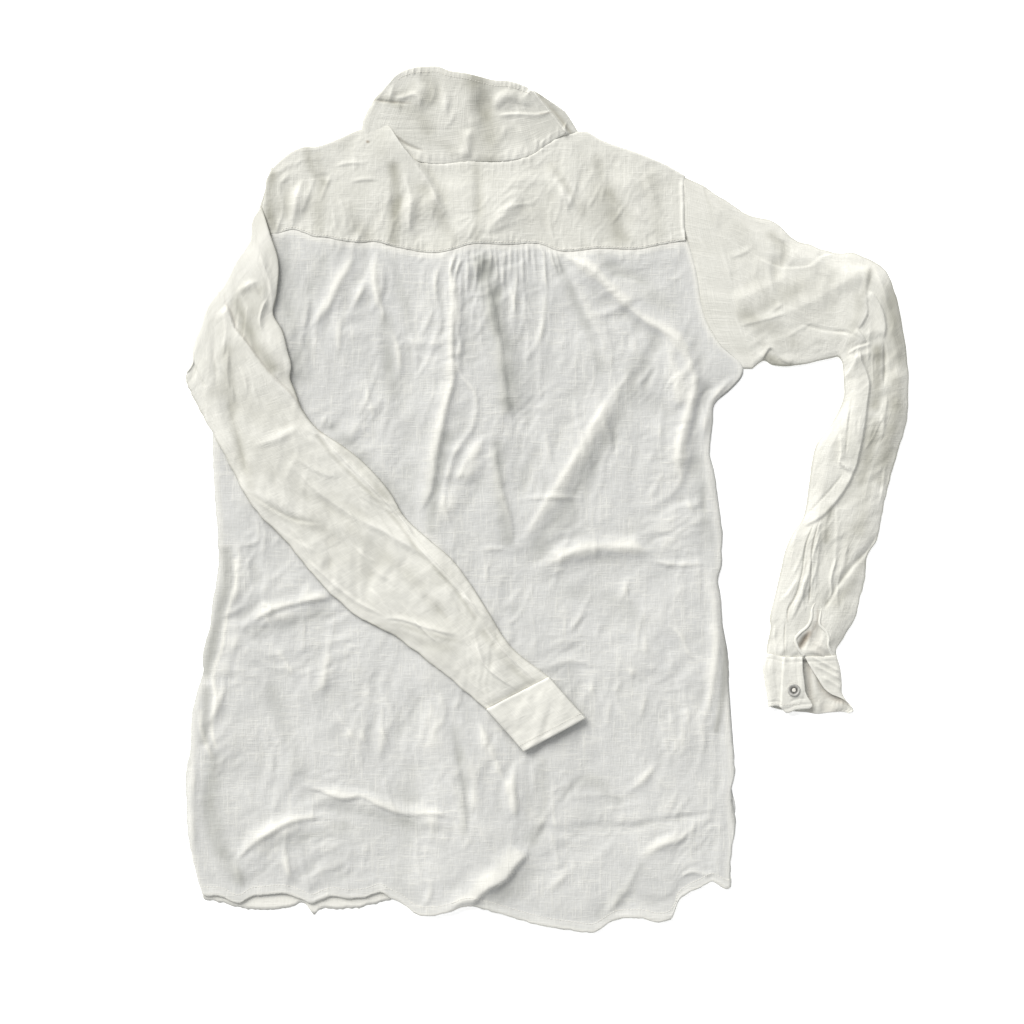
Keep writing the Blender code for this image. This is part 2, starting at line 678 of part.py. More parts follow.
def make_buttons():
    shell = grey_shell("button shell")
    cutter = make_hole_cutter()
    buttons = []
    for number in range(FRONT_BUTTON_COUNT):
        y = FIRST_FRONT_BUTTON + number * FRONT_BUTTON_SPACING
        x = float(along(PLACKET_MIDDLE, y))
        buttons.append(make_button(f"button_front_{number + 1}", x, y, 0, shell))
    buttons.append(make_button("button_cuff_right", 793, 689.5, 8 + SEAM_GAP, shell))
    rest = float(sleeve_rest(np.array(541.0), np.array(722.0)))
    buttons.append(make_button("button_cuff_left", 541, 722, rest + SEAM_GAP, shell))
    for button in buttons:
        place_cutter(cutter, button)


def clear_scene():
    for left_over in list(bpy.data.objects):
        bpy.data.objects.remove(left_over)


def make_shirt():
    clear_scene()
    for name in ("button_up_shirt", "cutters"):
        collection = bpy.data.collections.new(name)
        bpy.context.scene.collection.children.link(collection)
    bpy.data.collections["cutters"].hide_render = True
    make_back()
    make_yoke()
    make_fronts()
    make_collar()
    make_left_sleeve()
    make_right_sleeve()
    make_left_cuff()
    make_right_cuff()
    make_vent()
    make_buttons()


make_shirt()
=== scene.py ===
"""The visual model of a white linen button-up shirt, laid flat with its back up.

Layout places are in millimetres: x runs to the right, y runs down, and heights are above the floor.
Left and right are the wearer's, and the wearer's left is at the left of the layout. On a crease's line
the left and right hands are those of somebody who walks along it.
"""

import collections
import math

import bmesh
import bpy
import numpy as np
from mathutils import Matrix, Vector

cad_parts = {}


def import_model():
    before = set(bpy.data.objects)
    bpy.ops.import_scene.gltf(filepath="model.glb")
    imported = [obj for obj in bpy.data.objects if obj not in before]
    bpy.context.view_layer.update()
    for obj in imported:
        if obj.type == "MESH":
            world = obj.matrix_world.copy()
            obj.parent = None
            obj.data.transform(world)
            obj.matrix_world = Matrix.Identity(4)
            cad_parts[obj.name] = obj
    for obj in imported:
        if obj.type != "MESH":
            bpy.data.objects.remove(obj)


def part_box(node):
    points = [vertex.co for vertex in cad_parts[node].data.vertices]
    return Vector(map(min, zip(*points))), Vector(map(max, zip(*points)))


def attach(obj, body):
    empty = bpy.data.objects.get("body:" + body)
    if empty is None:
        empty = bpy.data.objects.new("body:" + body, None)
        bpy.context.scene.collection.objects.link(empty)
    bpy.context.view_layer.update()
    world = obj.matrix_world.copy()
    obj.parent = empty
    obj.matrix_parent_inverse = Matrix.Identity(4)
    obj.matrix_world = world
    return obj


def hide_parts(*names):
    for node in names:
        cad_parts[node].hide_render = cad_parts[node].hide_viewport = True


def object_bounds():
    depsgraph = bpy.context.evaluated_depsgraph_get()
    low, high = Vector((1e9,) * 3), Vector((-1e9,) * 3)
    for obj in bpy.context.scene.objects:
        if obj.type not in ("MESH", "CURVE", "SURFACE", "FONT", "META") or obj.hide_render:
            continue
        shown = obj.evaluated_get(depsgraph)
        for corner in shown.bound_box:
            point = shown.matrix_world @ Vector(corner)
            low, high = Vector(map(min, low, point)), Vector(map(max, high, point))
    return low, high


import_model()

CAD_LOW, CAD_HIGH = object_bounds()

MM = 0.001
LAYOUT_LEFT = 185.92
LAYOUT_TOP = 67.47
WALL = 1.0
DOUBLED_WALL = 1.2
GAP = 0.3
SHARP = 1.3
ROUND = 2.2
LONG_FADE = 30
GAIN = 1.05
BROAD_GAIN = 0.6
SLEEVE_PRESS = 0.86

# Rows and columns of the pieces' grids, and how far apart the rows of a sleeve are
YOKE_GRID = (88, 330)
FRONT_GRID = (190, 170)
COLLAR_GRID = (84, 430)
LEFT_CUFF_GRID = (40, 66)
RIGHT_CUFF_GRID = (56, 310)
BACK_ROWS = (38, 288, 20)
BACK_SIDE_COLUMNS = (84, 62)
GATHERED_SPACING = 1.35
LEFT_SLEEVE_COLUMNS = 146
RIGHT_SLEEVE_COLUMNS = 150
SLEEVE_SPACING = 1.95
INNER_STEP = 4

# The cloth of a piece pressed flat round a turn: millimetres a radian, and the collar's from foot to edge
COLLAR_CLOTH_ROUND = 62
COLLAR_CLOTH_DEPTH = 72
CUFF_CLOTH_ROUND = 38

# How wide the surroundings are that a place is compared with, and the difference that counts in full, for
# painted highlight on raised places and painted shade in hollows
SURROUNDINGS = 150
FULL_RELIEF = 2.2
# How much shade is painted into hollows, and how much into those of the collar and the cuffs
HOLLOW_PAINTED_SHADE = 0.4
FIRM_HOLLOW_PAINTED_SHADE = 0.3

NOISE_CELLS = 64
NOISE_START = (37.3, 11.7)
NOISE_GAIN = 1.6
LOOK = "look"
CLOTH_MAP = "cloth"
MAP_UNIT = 100.0

# Sizes that the solids have too
SEAM_LEVEL = 240.0
HEM_LEVEL = 905.0
SHOULDER_LEVEL = 170.0
LEFT_ARMHOLE = (173, 368)
RIGHT_ARMHOLE = (369, 177)
NECK_DROP = 65.0
COLLAR_END = 0.96
PLACKET_HALF_WIDTH = 17.0
PLACKET_SLOPE = 38.0
GATHER_START = 452.0
GATHER_END = 554.0
BUTTON_HEIGHT = 2.0
OVER_PLACKET = BUTTON_HEIGHT + GAP + WALL + GAP
BACK_SLACK = 1.3
BACK_CLEARANCE = 0.35
EDGE_ROLL = 38.0
SLEEVE_CLEARANCE = 0.85
SEAM_HEIGHT = 4.9
STAND_HEIGHT = 6.8
LEAF_HEIGHT = 10.0
NECK_LEVEL = 3.9
STAND_SHARE = 0.38
COLLAR_HALF_WIDTH = 85

# Edges of the body. The first pair of tables gives x at a y, the others y at an x
BODY_LEFT = (
    (169, 271.5), (180, 266.6), (190, 265.4), (200, 263.8), (208, 262.4), (221, 266.4), (236, 270.5),
    (265, 270), (300, 266), (325, 258), (348, 243), (369, 218), (388, 214), (435, 213), (480, 214),
    (510, 216), (540, 218), (570, 218), (600, 213), (630, 209), (645, 205), (660, 203), (675, 203),
    (690, 198), (720, 192), (750, 191), (780, 186), (810, 187), (840, 188), (855, 190), (870, 193),
    (885, 197), (905, 203),
)
BODY_RIGHT = (
    (176, 685), (207, 684.5), (230, 685), (249, 691), (276, 698), (304, 702), (322, 707), (345, 721),
    (369, 744), (390, 730), (401, 717), (420, 713), (440, 711), (456, 710), (473, 714), (497, 718),
    (515, 720), (534, 722.5), (550, 722), (565, 721.5), (580, 718), (600, 721), (630, 723), (645, 725.5),
    (660, 728), (690, 729), (705, 730), (735, 732), (765, 734), (780, 735), (795, 731.5), (810, 732),
    (835, 736), (855, 733), (870, 731), (905, 731),
)
YOKE_TOP = (
    (273, 168), (286, 156), (301, 148), (316, 147), (339, 139), (360, 130), (376, 127), (390, 126.5),
    (397, 138), (407, 152), (416, 161), (430, 163.5), (445, 164), (465, 161.5), (503, 161.5), (515, 160),
    (531, 155.5), (549, 143.5), (561, 136.5), (572, 133.5), (585, 131.5), (599, 139), (640, 154),
    (670, 167), (685, 176),
)
YOKE_SEAM = (
    (279, 234), (293, 230), (304, 233), (314, 237), (326, 238), (341, 241), (358, 243), (378, 242.5),
    (393, 247), (408, 250), (425, 253), (438, 253.5), (453, 250.5), (467, 246), (506, 245.5), (545, 246),
    (554, 250), (600, 249), (640, 249.5), (662, 245), (685, 241),
)
BACK_HEM = (
    (188, 888), (200, 894), (221, 896), (241, 903), (250, 897), (263, 895), (287, 894), (300, 898),
    (313, 903), (322, 899), (333, 896), (346, 898), (365, 897), (383, 893), (389, 897), (402, 903),
    (415, 913), (435, 915), (452, 911), (464, 906), (489, 910), (515, 918), (545, 926), (576, 930.5),
    (594, 932), (603, 927), (610, 922), (638, 918), (667, 920), (673, 916), (677, 904), (687, 894),
    (700, 887.5), (713, 882), (720, 885), (727, 889), (736, 880),
)
FRONT_HEM = (
    (188, 890), (202, 898), (222, 903), (243, 908), (269, 910), (290, 907.5), (306, 905), (313, 914),
    (321, 909), (340, 909.5), (356, 908), (375, 904), (393, 899), (430, 901), (500, 903), (600, 908),
    (660, 900), (700, 880), (736, 868),
)
PLACKET_MIDDLE = ((150, 482), (262, 474), (905, 463))

# Collar lines, from the left fold to the right fold
NECK_SEAM = (
    (364, 143), (386, 153), (416, 160.5), (430, 163), (445, 163.5), (465, 161), (503, 161), (515, 159.5),
    (531, 155), (549, 143), (561, 136), (572, 133), (578, 131),
)
STAND_TOP = (
    (363, 121), (395, 128), (425, 131), (456, 130), (480, 124), (505, 117), (530, 115), (552, 112),
    (565, 112),
)
LEAF_EDGE = (
    (393, 79), (401, 73.5), (411, 69.5), (424, 68), (439, 68), (448, 71.5), (466, 74.5), (480, 78),
    (492, 81), (512, 83), (524, 87), (534, 92), (543, 97.5),
)

# The left sleeve where it lies on the back, its turn over its folded edge, and how that edge waves
LEFT_FOLD = ((261, 207), (185, 372))
FOLDED_PUFF = 4.0
FOLD_RADIUS = 2.6
FOLD_WAVE = (
    (0, 0), (14, 2.2), (34, -3.4), (59, 0.5), (85, 1.8), (115, 7.7), (128, 5.9), (155, 3.6), (170, -1.6),
    (182, 0),
)
# A sleeve's rows give its outer edge's x and y, its inner edge's x and y, and how far it puffs up
LEFT_SLEEVE = (
    (186, 376, 270, 232, 4.5), (187, 382, 279, 262, 5.5), (188.4, 386.5, 277, 295, 7),
    (190, 390, 273.8, 314, 7.4), (192.5, 395, 283, 331, 7.8), (196, 402, 288, 350, 8.2),
    (199, 408, 291.8, 368, 8.4), (201, 412, 290.6, 376, 8.5), (206, 421, 296, 392, 8.5),
    (215, 437, 302, 408, 8.5), (224, 453, 313, 424, 8.5), (243, 490, 346, 448, 8), (256, 510, 361, 460, 8),
    (287, 542, 390, 492, 7.5), (309, 569, 405, 517, 7.5), (334, 596, 431, 541, 7.5),
    (359, 617, 450, 557, 7.5), (394, 635, 470, 583, 7), (421, 655, 488, 611, 7), (448, 676, 509, 644, 6.5),
    (486.6, 709.4, 549.4, 677.1, 6),
)
# The right sleeve on the surface, round the elbow
RIGHT_SLEEVE = (
    (703, 186, 752, 369, 5.5), (726, 201, 763, 361, 7), (754, 217.5, 774, 365.5, 8),
    (770, 220, 785, 366.5, 8.5), (783, 229.5, 795, 365.5, 9), (792, 238.5, 806, 364, 9),
    (812, 246, 818, 361, 9.5), (832, 252.5, 830, 358.5, 10), (856, 254, 837, 357, 11),
    (874, 262.5, 840, 359, 12), (884, 270, 841.5, 362, 12), (895, 294, 842.5, 368, 11.5),
    (902, 325, 843, 376, 11), (906, 352, 843.5, 385, 10.5), (908, 380, 843.5, 396, 10),
    (907.5, 405, 839, 409, 10), (905, 428, 829, 427, 9.5), (898.5, 448, 817, 443, 9.5),
    (892, 470, 812, 460, 9.5), (885, 497, 808.5, 485, 9.5), (880, 524, 801.5, 520, 9),
    (876, 541, 792, 534, 9), (867, 556, 785.5, 549, 8.5), (865, 576, 780.5, 570, 8.5),
    (859, 600, 773.5, 600, 8), (856.5, 613, 770, 614, 8), (844.5, 636, 770, 630, 7.5),
    (836, 651, 766, 651, 7.5), (837.5, 659, 766, 660, 7.2),
)

Crease = collections.namedtuple("Crease", "height left right line crest fade", defaults=(SHARP, LONG_FADE))


def table_rows(text):
    """A table's rows: numbers before the colon, and a line's places after it. A comma carries a row on."""
    for row in text.strip().replace(",\n", ",").splitlines():
        numbers, line = row.split(":")
        places = [tuple(map(float, place.split())) for place in line.split(",")]
        yield list(map(float, numbers.split())), tuple(places)


def creases(text, crest=SHARP, fade=LONG_FADE):
    """Creases from rows of height, left and right widths and, where a row has its own, crest and fade."""
    return tuple(
        Crease(height, left, right, line, *(own or (crest, fade)))
        for (height, left, right, *own), line in table_rows(text)
    )


def shades(text):
    """Lines along which shade is painted into the cloth's colour: how much, how wide and where."""
    return tuple((amount, width, line) for (amount, width), line in table_rows(text))


# The main folds that the solids have too
BACK_FOLDS = creases("""
3 14 14: 359 256, 341 283, 319 321
2.5 11 11: 373 275, 362 292, 352 310
4 10 15: 376 250, 378 282, 383 312
3 11 11: 457 262, 452 362, 418 516
3 16 16: 482 285, 505 350, 512 430
5.4 24 34 2.2 110: 640 340, 592 428, 508 562
3.5 14 14: 553 258, 588 310, 606 372
5 20 18: 562 254, 668 332, 677 492
3.5 15 13: 486 434, 468 470, 440 530
3 18 18: 532 572, 590 548, 662 553
2.5 14 14: 310 791, 385 806, 457 825
3 16 16: 237 862, 270 834, 310 820
3 16 14: 464 745, 470 795, 459 850
4 22 12: 529 752, 511 790, 520 835
2.5 13 15: 638 858, 664 844, 697 817
3 9 24: 531 843, 498 880, 446 914
3.5 18 13: 248 623, 292 612, 334 598
3 13 13: 222 540, 231 610, 206 730
4 12 12: 712 560, 716 630, 712 715
""", ROUND)
YOKE_FOLDS = creases("""
3 13 13: 304 178, 298 204, 292 226
3 15 10: 404 170, 408 200, 405 238
2.5 14 14: 523 190, 505 214, 487 236
3 16 14: 546 158, 562 186, 584 214
2.5 16 16: 612 160, 628 190, 640 226
""", ROUND)
LEFT_SLEEVE_FOLDS = creases("""
-2.5 14 14: 229 362, 232 420, 246 480
2.5 16 16: 252 494, 322 518, 394 542
-2.5 14 14: 322 440, 420 552, 512 655
2 14 14: 376 619, 418 630, 460 636
2.6 16 16: 232 268, 250 300, 262 330
""", ROUND)
RIGHT_SLEEVE_FOLDS = creases("""
-3 14 14: 755 256, 790 271, 822 260
3 15 15: 832 290, 851 279, 871 266
3 14 12: 856 380, 851 430, 838 480
-2.5 12 12: 886 330, 886 362, 880 394
2.5 13 13: 820 515, 810 558, 796 602
2.6 18 18: 716 306, 752 300, 784 282
""", ROUND)
COLLAR_FOLDS = creases("""
-2 17 17: 482 80, 484 108, 488 134
2.5 15 15: 412 80, 420 98, 417 116
2 16 16: 496 86, 506 98, 518 108
""", ROUND)

BACK_CREASES = creases("""
2.4 6 12: 359 250, 347 270, 336 290, 326 315, 318 328
1.8 5 8: 370 276, 361 294, 351 310
3 5 10: 375 247, 375 279, 378 297, 382 308, 385 330
2.4 7 6: 390 328, 398 349, 399 371, 394 384
1.8 6 6: 407 321, 412 338, 415 368, 408 377
1.6 6 7: 436 304, 425 328, 417 344
-2.6 11 11: 384 322, 386 350, 388 388
1.3 5 7: 334 296, 324 311, 312 330
1.6 5 9: 370 408, 358 426, 345 444
2.4 4 10: 456 262, 452 321, 452 351, 454 373, 445 414, 437 455, 430 495, 417 518
2.2 6 5: 467 321, 460 347, 459 371, 475 395, 473 425, 456 451, 443 499, 437 531
2 8 7: 487 432, 477 450, 466 468
2.2 5 12: 493 432, 501 490, 511 527, 511 551
-1.8 7 7: 501 330, 508 382, 519 438
1.7 6 9: 544 422, 549 450, 551 478
2.5 24 7 1.3 80: 633 349, 629 373, 616 390, 593 425, 567 471, 551 495, 530 529, 510 556
-2.2 5 13: 553 254, 571 284, 586 321, 599 343, 603 366
3.4 12 9: 558 252, 597 275, 619 299, 640 317, 679 343, 692 369, 694 390, 681 438, 679 488
1.6 8 8: 663 400, 661 425, 663 450
0.8 1.6 1.6 1.3 10: 681 186, 685 223, 690 249, 695 276, 701 308, 718 345
2.2 4 16 1.3 50: 482 262, 492 300, 500 340, 505 376, 509 420
1.4 3 4 1.3 12: 480 437, 468 458, 456 484
1.5 5 5 1.3 20: 512 258, 515 290, 514 318
1.6 6 5 1.3 12: 628 320, 634 345, 632 362
1.3 4 4 1.3 14: 660 420, 659 440, 663 462
1.6 4 5 1.3 20: 440 262, 436 290, 441 322, 438 344
1.4 4 4 1.3 20: 448 268, 446 300, 450 326
1.8 6 6: 684 489, 689 505, 696 521
-2 6 7: 705 479, 704 500, 706 524
1.7 7 3: 510 502, 540 498, 590 499
1.5 5 3: 476 549, 494 549, 512 550
1.9 7 3: 641 560, 676 565, 717 563
3.2 15 12: 538 569, 561 557, 606 546.5, 662 553
1.8 6 9: 629 574, 625 590, 618 607
1.5 5 5: 643 629, 645 644, 646 659
1.4 5 5: 668 646, 671 659, 673 672
1.4 5 5: 632 664, 632 673, 631 683
1.4 5 5: 622 677, 618 686, 613 694
1.7 6 5: 648 685, 643 705, 638 722
1.9 6 6: 666 620, 680 635, 693 657, 706 659
1.8 3 9: 717 575, 718 612, 718 648, 711 692, 706 726
2.2 5 5: 253 510, 258 525, 258 540, 245 545, 235 542
1.6 5 5: 266 523, 264 542, 264 562
1.6 5 5: 281 533, 276 542, 272 550
2 12 2.5: 234 534, 238 560, 238 582, 227 618
1.7 9 3: 214 674, 217 700, 212 737
1.7 9 4: 200 715, 208 748, 217 777
3.2 16 4: 246 626, 269 612, 305 601, 338 597
1.6 4 4: 257 606, 266 604, 272 610, 267 618
2 6 9: 275 644, 287 664, 299 684
1.8 8 9: 335 610, 328 655, 321 705
2 7 7: 332 705, 348 730, 362 750
-2 9 9: 265 683, 280 720, 292 762
1.9 5 5: 369 706, 380 703, 382 712, 381 728, 392 750
1.4 5 5: 361 725, 363 736, 369 747
1.3 4 4: 327 412, 325 419, 323 428
1.3 4 4: 333 415, 331 422, 328 432
2.2 12 3: 296 785, 320 790, 346 798, 361 795.5, 380 805, 402 813, 442 814, 461 820
3.2 14 5: 235 864, 250 846, 269 833, 291 821, 330 815
2 7 7: 196 753, 192 800, 194 862
-1.8 8 8: 209 773, 210 812, 211 852
1.8 5 6: 234 858, 238 874, 244 890
-2.6 14 4: 452 722, 458 755, 466 795, 469 840
2.6 8 11: 476 717, 489 745, 499 769, 516 801
2.9 6 7: 526 755, 515 767, 513 785, 515 811, 515 829
1.7 5 5: 531 763, 534 784, 530 805
-2 7 7: 555 809, 566 796, 578 781, 592 770
-2.4 7 7: 575 754, 600 779, 618 789, 626 815
2.2 7 8: 622 798, 640 781, 665 756
1.5 5 5: 611 785, 614 800, 608 817
-1.5 4 9: 564 826, 588 825, 630 825, 677 817, 719 811
2.5 11 7: 636 863, 653 848, 681 837, 703 816
2.2 10 9: 599 924, 612 906, 626 888, 641 856
1.9 8 8: 544 898, 556 883, 572 865
-2 7 7: 718 715, 720 760, 716 807
4.4 26 2.5: 436 918, 455 911, 470 904, 489 888, 505 880, 519 862, 527 854, 531 838
1.7 5 5: 430 875, 429 896, 416 912
1.9 5 5: 674 881, 693 871, 707 874, 721 866
1.6 4 4: 381 882, 385 890, 387 898
3.4 9 9: 737 374, 718 393, 706 420, 702 447
-1.6 5 5: 722 384, 703 394, 695 422, 686 452
2 6 7: 708 455, 710 480, 716 510, 718 545
1.6 3 3: 445 256, 439 268, 435 282, 437 303
1.6 3 3: 470 250, 459 266, 455 285
-1.4 4 4: 480 250, 479 280, 473 302, 467 322
1.6 3 3: 491 250, 490 265, 488 281
1.6 3 4: 511 258, 510 280, 514 304, 519 326
1.3 3 3: 425 255, 420 260, 416 265
1.4 3 3: 431 255, 424 273, 423 304
1.4 3 3: 452 256, 450 270, 449 283
-1.6 9 9: 300 480, 330 560, 330 590
-1.4 12 12: 590 640, 606 628, 616 606
""")
YOKE_CREASES = creases("""
1.3 6 2 1.3 10: 281.5 178, 279 192, 282.6 206.6, 278 226.4, 274.5 238
1.6 5 7 1.3 8: 280 185, 285 178, 293 172
2.4 7 8: 307 174, 298 194, 295 212, 293 230
-2.4 7 7: 393 164, 396 200, 394 241
2 8 5: 404 170, 411 205, 407 241
-1.8 9 9: 477 164, 479 200, 476 237
-2 7 7: 550 164, 560 177, 581 211
-2 8 8: 594 159, 606 189, 628 218
1.7 7 7: 524 192, 505 213, 485 233
1.7 7 7: 523 192, 534 213, 547 239
1.3 5 3: 330 169, 348 164, 369 164
1.3 5 3: 347 184, 365 180, 384 181
1.8 8 8: 640 160, 650 190, 664 222
1.3 6 6: 336 192, 345 212, 346 236
""")
LEFT_SLEEVE_CREASES = creases("""
3.4 2.2 24 1.3 14: 218 293, 225 303.5, 231 315.5, 235.5 329, 243 338, 252 350, 264 366.5, 277.5 381.5,
  291 395, 306 414.5, 313.5 425, 322 436
1.8 6 4 1.3 14: 253.8 224.6, 259.2 251.6, 264.6 266, 270 282, 273.6 302
2 5 8 1.3 10: 220 281, 230.4 285.9, 241.2 289.5, 252 284, 262 282
1.8 5 3 1.3 10: 269 297, 262.5 312.5, 261 323, 263 333
-1.2 3 3 1.3 8: 192.8 360.5, 199.5 374, 208.5 390.5
-1.6 9 8: 214.5 327, 216 360, 218 397
1.6 4 7 1.3 14: 229.5 348, 229.5 386, 233 400
-2 8 9: 228 396, 232 412, 241 447, 250 483
2.2 9 9: 252 448, 277 439, 306 423
-2 7 4: 246 491, 270 506, 295 519, 325 524
2.4 9 7: 302 477, 331 501, 352 515, 384 531, 432 560
1.6 6 3: 376 621, 391 618, 430 628, 462 636
1.8 5 3: 473 628, 485 664, 500 678, 521 691
2.3 2.8 3.2: 320 431, 336 451, 356 471, 375 490, 402 519, 416 539, 460 587, 478 612, 484 621
2.4 3.2 3.6: 480 621, 493 637, 507 653, 538 682
1.5 2.6 2.6: 404 526, 420 548, 440 570, 460 592, 470 606
1.4 4 5: 300 553, 330 580, 352 598, 390 618
-1.6 8 8: 420 590, 440 610, 462 640
1.8 8 7: 356 545, 372 566, 402 588
""")
RIGHT_SLEEVE_CREASES = creases("""
1.2 1.5 16 1.3 12: 754 255, 766 263, 782 268.5, 798 268.5, 810 266.5, 821 257.4, 838 254
-1.4 5 5 1.3 10: 776 240, 784 246, 780 254
1.3 14 14 1.3 30: 719 307, 742 298, 762 289, 800 270
1.5 14 16 1.3 30: 740 327, 790 312, 830 291, 868 266
1.9 8 7 1.3 30: 712 235, 726 270, 730 300
1.8 10 1.6 1.3 4: 761 361, 770.5 348, 779.8 358.7, 792 366
1.9 2.2 18: 870 265, 867.4 275.5, 864.3 290.7, 865 301, 865.7 314.5, 861.5 323, 856 330.5
1.6 1.8 12 1.3 5: 855 328, 859.8 334.8, 866 344
2.3 2.6 13: 864.8 290.7, 871.6 295.8, 878.4 306, 882.7 317.9, 883.8 329.8, 881.5 340
1.4 7 4 1.3 12: 873 266, 881.8 289, 888.6 314.5
1.4 3 5 1.3 6: 846 355, 856.4 348.4, 864.8 345.9, 871 343.5
-1 4 4 1.3 12: 798 324, 828 331, 846.4 333.3, 862 340
2.5 3 19: 858.9 350, 859.8 360.3, 864.8 372.2, 867.4 382.4, 865.7 402.7, 864.2 417, 861.6 433.9,
  858.2 450.9, 854 467.9, 849 477
0.6 2 2 1.3 10: 872.5 346.7, 871.6 360.3, 872.5 387
-1.8 4 3 1.3 12: 883 341.6, 884 360.3, 883 388
1.9 8 1.8 1.3 6: 838.5 433, 839.6 456, 838 462.8, 843 466.2, 850 474
-1 2 2 1.3 10: 849.8 408, 846.4 434, 844.7 456
0.6 2.5 2.5: 884 412, 866.7 445.8, 861 453
1.2 7 7 1.3 30: 875 458, 868 480, 862 505
2.3 3 12 1.3 6: 853 472, 843 489.9, 832.8 503.5, 819.2 517, 803 526
-1 1.6 1.6: 843 473, 827.7 491.6, 803.9 517
0.8 5 3 1.3 12: 835.3 505, 836 536, 835.3 546, 833.6 572
-1.2 1.6 1.8: 818 522, 812.4 544, 810.7 570, 808.5 604
-1.3 1.6 1.8 1.3 10: 813.5 523, 805.6 544, 801 575, 793 600, 788 608, 787 622
1.2 6 2.5 1.3 12: 820 529, 810 562, 797 600, 791 612
-2.2 4 7 1.3 10: 879 533, 865 552.7, 854.8 562.9, 838 584, 822 611
1.8 3 3 1.3 10: 836 556, 830 582, 831 594, 824 604
-1.1 1.5 1.5: 785 620, 784 636, 784 654
1.3 4 2.5 1.3 10: 775 622, 774 636, 776 654
1.2 2.5 2.5: 804 648, 820 654, 834 664
1.2 2.5 2.5: 809 640, 824 648, 838 658
""", SHARP, 8)
COLLAR_CREASES = creases("""
-1.3 2.4 3 1.3 10: 372 100, 377 101, 390 103, 411 104.5
1.7 5 5 1.3 12: 392 99, 404 98.5, 414 95.5, 420 100, 419 112
2.6 8 14 1.3 8: 471 128, 468 142, 465 162
-2.2 15 15 2.2 30: 482 82, 484 108, 488 136, 486 160
1.4 3 5 1.3 10: 496 116, 521 115, 539 115.5, 553 112
1.8 8 7 2.2 12: 495 114, 498 103, 508 97, 521 100, 534 107
-1.6 3 4 1.3 8: 396 136, 403 143, 411 147, 424 152
1.8 8 7: 440 82, 446 100, 444 120
1.6 7 7: 395 82, 392 93, 385 110
1.3 5 5: 428 76, 434 92, 430 110
1.7 8 7: 513 124, 523 136, 527 150
2.9 1.9 14 1.3 4: 529 89, 534 95, 541 103, 547 110, 560 126, 568 136
1.5 2 2 1.3 3: 531 91, 541 103, 547 110, 560 126, 568 136
-0.35 1.6 1.6 1.3 6: 374 120, 395 121, 424 121
-0.4 1.6 1.6 1.3 6: 392 130, 424 130.5, 456 130
""")
PIPING = ((529, 89), (534, 95), (541, 103), (547, 110), (560, 126), (568, 136))
# Painted shade on the collar: how much, how wide and along which line
COLLAR_SHADES = shades("""
0.5 4: 538 95, 550 107, 562 121, 571 133
0.75 21: 476 84, 481 106, 487 132, 488 158
0.5 14: 424 74, 432 88, 430 98
0.4 12: 404 108, 420 118, 430 132
0.35 8: 412 84, 408 92, 396 95
0.65 8: 374 99, 388 101, 402 107
0.3 10: 430 140, 445 145, 452 152
""")
# Painted shadow, brown, in the collar's creases: how much, how wide and along which line
COLLAR_CREASE_SHADOWS = shades("""
0.22 1.8: 374 101, 390 103, 411 104
0.3 1.8: 540 115, 546 114.5, 551 113.5
0.2 1.8: 396 137, 411 147, 423 151
0.22 1.7: 536 93, 549 107, 561 121, 570 133
""")
(SHOULDER_EDGE,) = creases("""
6.4 7 84: 384 112, 390 126, 397 138, 407 152, 416 166, 427 180, 440 206, 452 222
""")

# The slit above the right cuff
VENT_HOLLOW = creases("""
-4.5 6 6: 798 651, 803 642, 808 632
-2.2 7 8 2.2 12: 806 652, 816 636, 816 618
""", SHARP, 8)
VENT_SHADOWS = shades("""
0.75 6: 799 646, 804 640, 809 633
0.45 2.2: 817 610, 816 624, 811 632
0.2 13: 815 626, 814 642, 822 656
0.2 1.4: 816 529, 806 562, 793 600, 788 608, 787 622
0.16 1.3: 785 622, 784 636, 784 652
0.14 1.3: 810 556, 809 580, 808 604
""")
VENT_EDGE = (
    (814, 603), (811.5, 609), (811, 617), (807, 626), (799, 633), (795, 638), (796.5, 646), (804, 656),
)
VENT_UNDER_EDGE = (
    (821, 608), (819.5, 616), (819, 624), (826, 632), (828, 638), (827.5, 645), (830, 651), (834, 660),
)

# The right cuff: its sides down its height, its seam and its two hems across it, and its turned-back end
CUFF_LEFT = ((0, 765.5), (0.18, 762.2), (0.5, 763.6), (0.72, 765.6), (1, 767.3))
CUFF_RIGHT = (
    (0, 836), (0.2, 839.5), (0.5, 841.5), (0.7, 842.5), (0.8, 846.5), (0.88, 851.5), (0.95, 853),
    (1, 848.5),
)
CUFF_SEAM = ((760, 653), (770, 653.6), (783, 656.4), (805, 656.3), (842, 655))
CUFF_HEM = ((760, 706.3), (768, 706.5), (780.5, 707.4), (784, 711.4), (796, 709.4), (812, 708))
CUFF_UNDER_HEM = (
    (760, 706.3), (768, 706.5), (780, 709.5), (794, 711.3), (808, 712.4), (816, 713.8), (829, 712.4),
    (842, 711.6), (855, 714.6),
)
CUFF_END = ((0, 0.1), (0.2, 0.25), (0.38, 0.4), (0.57, 0.56), (0.68, 0.73), (0.76, 0.92), (0.83, 1), (1, 1))
CUFF_CREASES = creases("""
1.5 16 1.8 1.3 3: 784 653, 782 680, 780.5 709
1 6 5 2.2 12: 771 656, 770 680, 773 706
0.8 4 4 2.2 14: 797 660, 801 684, 798 706
-0.7 2.5 2.5 1.3 5: 788 702, 797 698, 807 699
1.4 2.4 4: 808 654, 822 662, 841 672
1.2 2.4 4: 812 664, 826 671, 842 680
1.1 2.4 4: 820 676, 832 682, 843 690
""", SHARP, 6)
CUFF_LIFTS = creases("""
2.4 6 5: 813 658, 815 684, 820 716
1.6 6 6 2.2 8: 828 712, 838 706, 850 703
""", ROUND, 10)
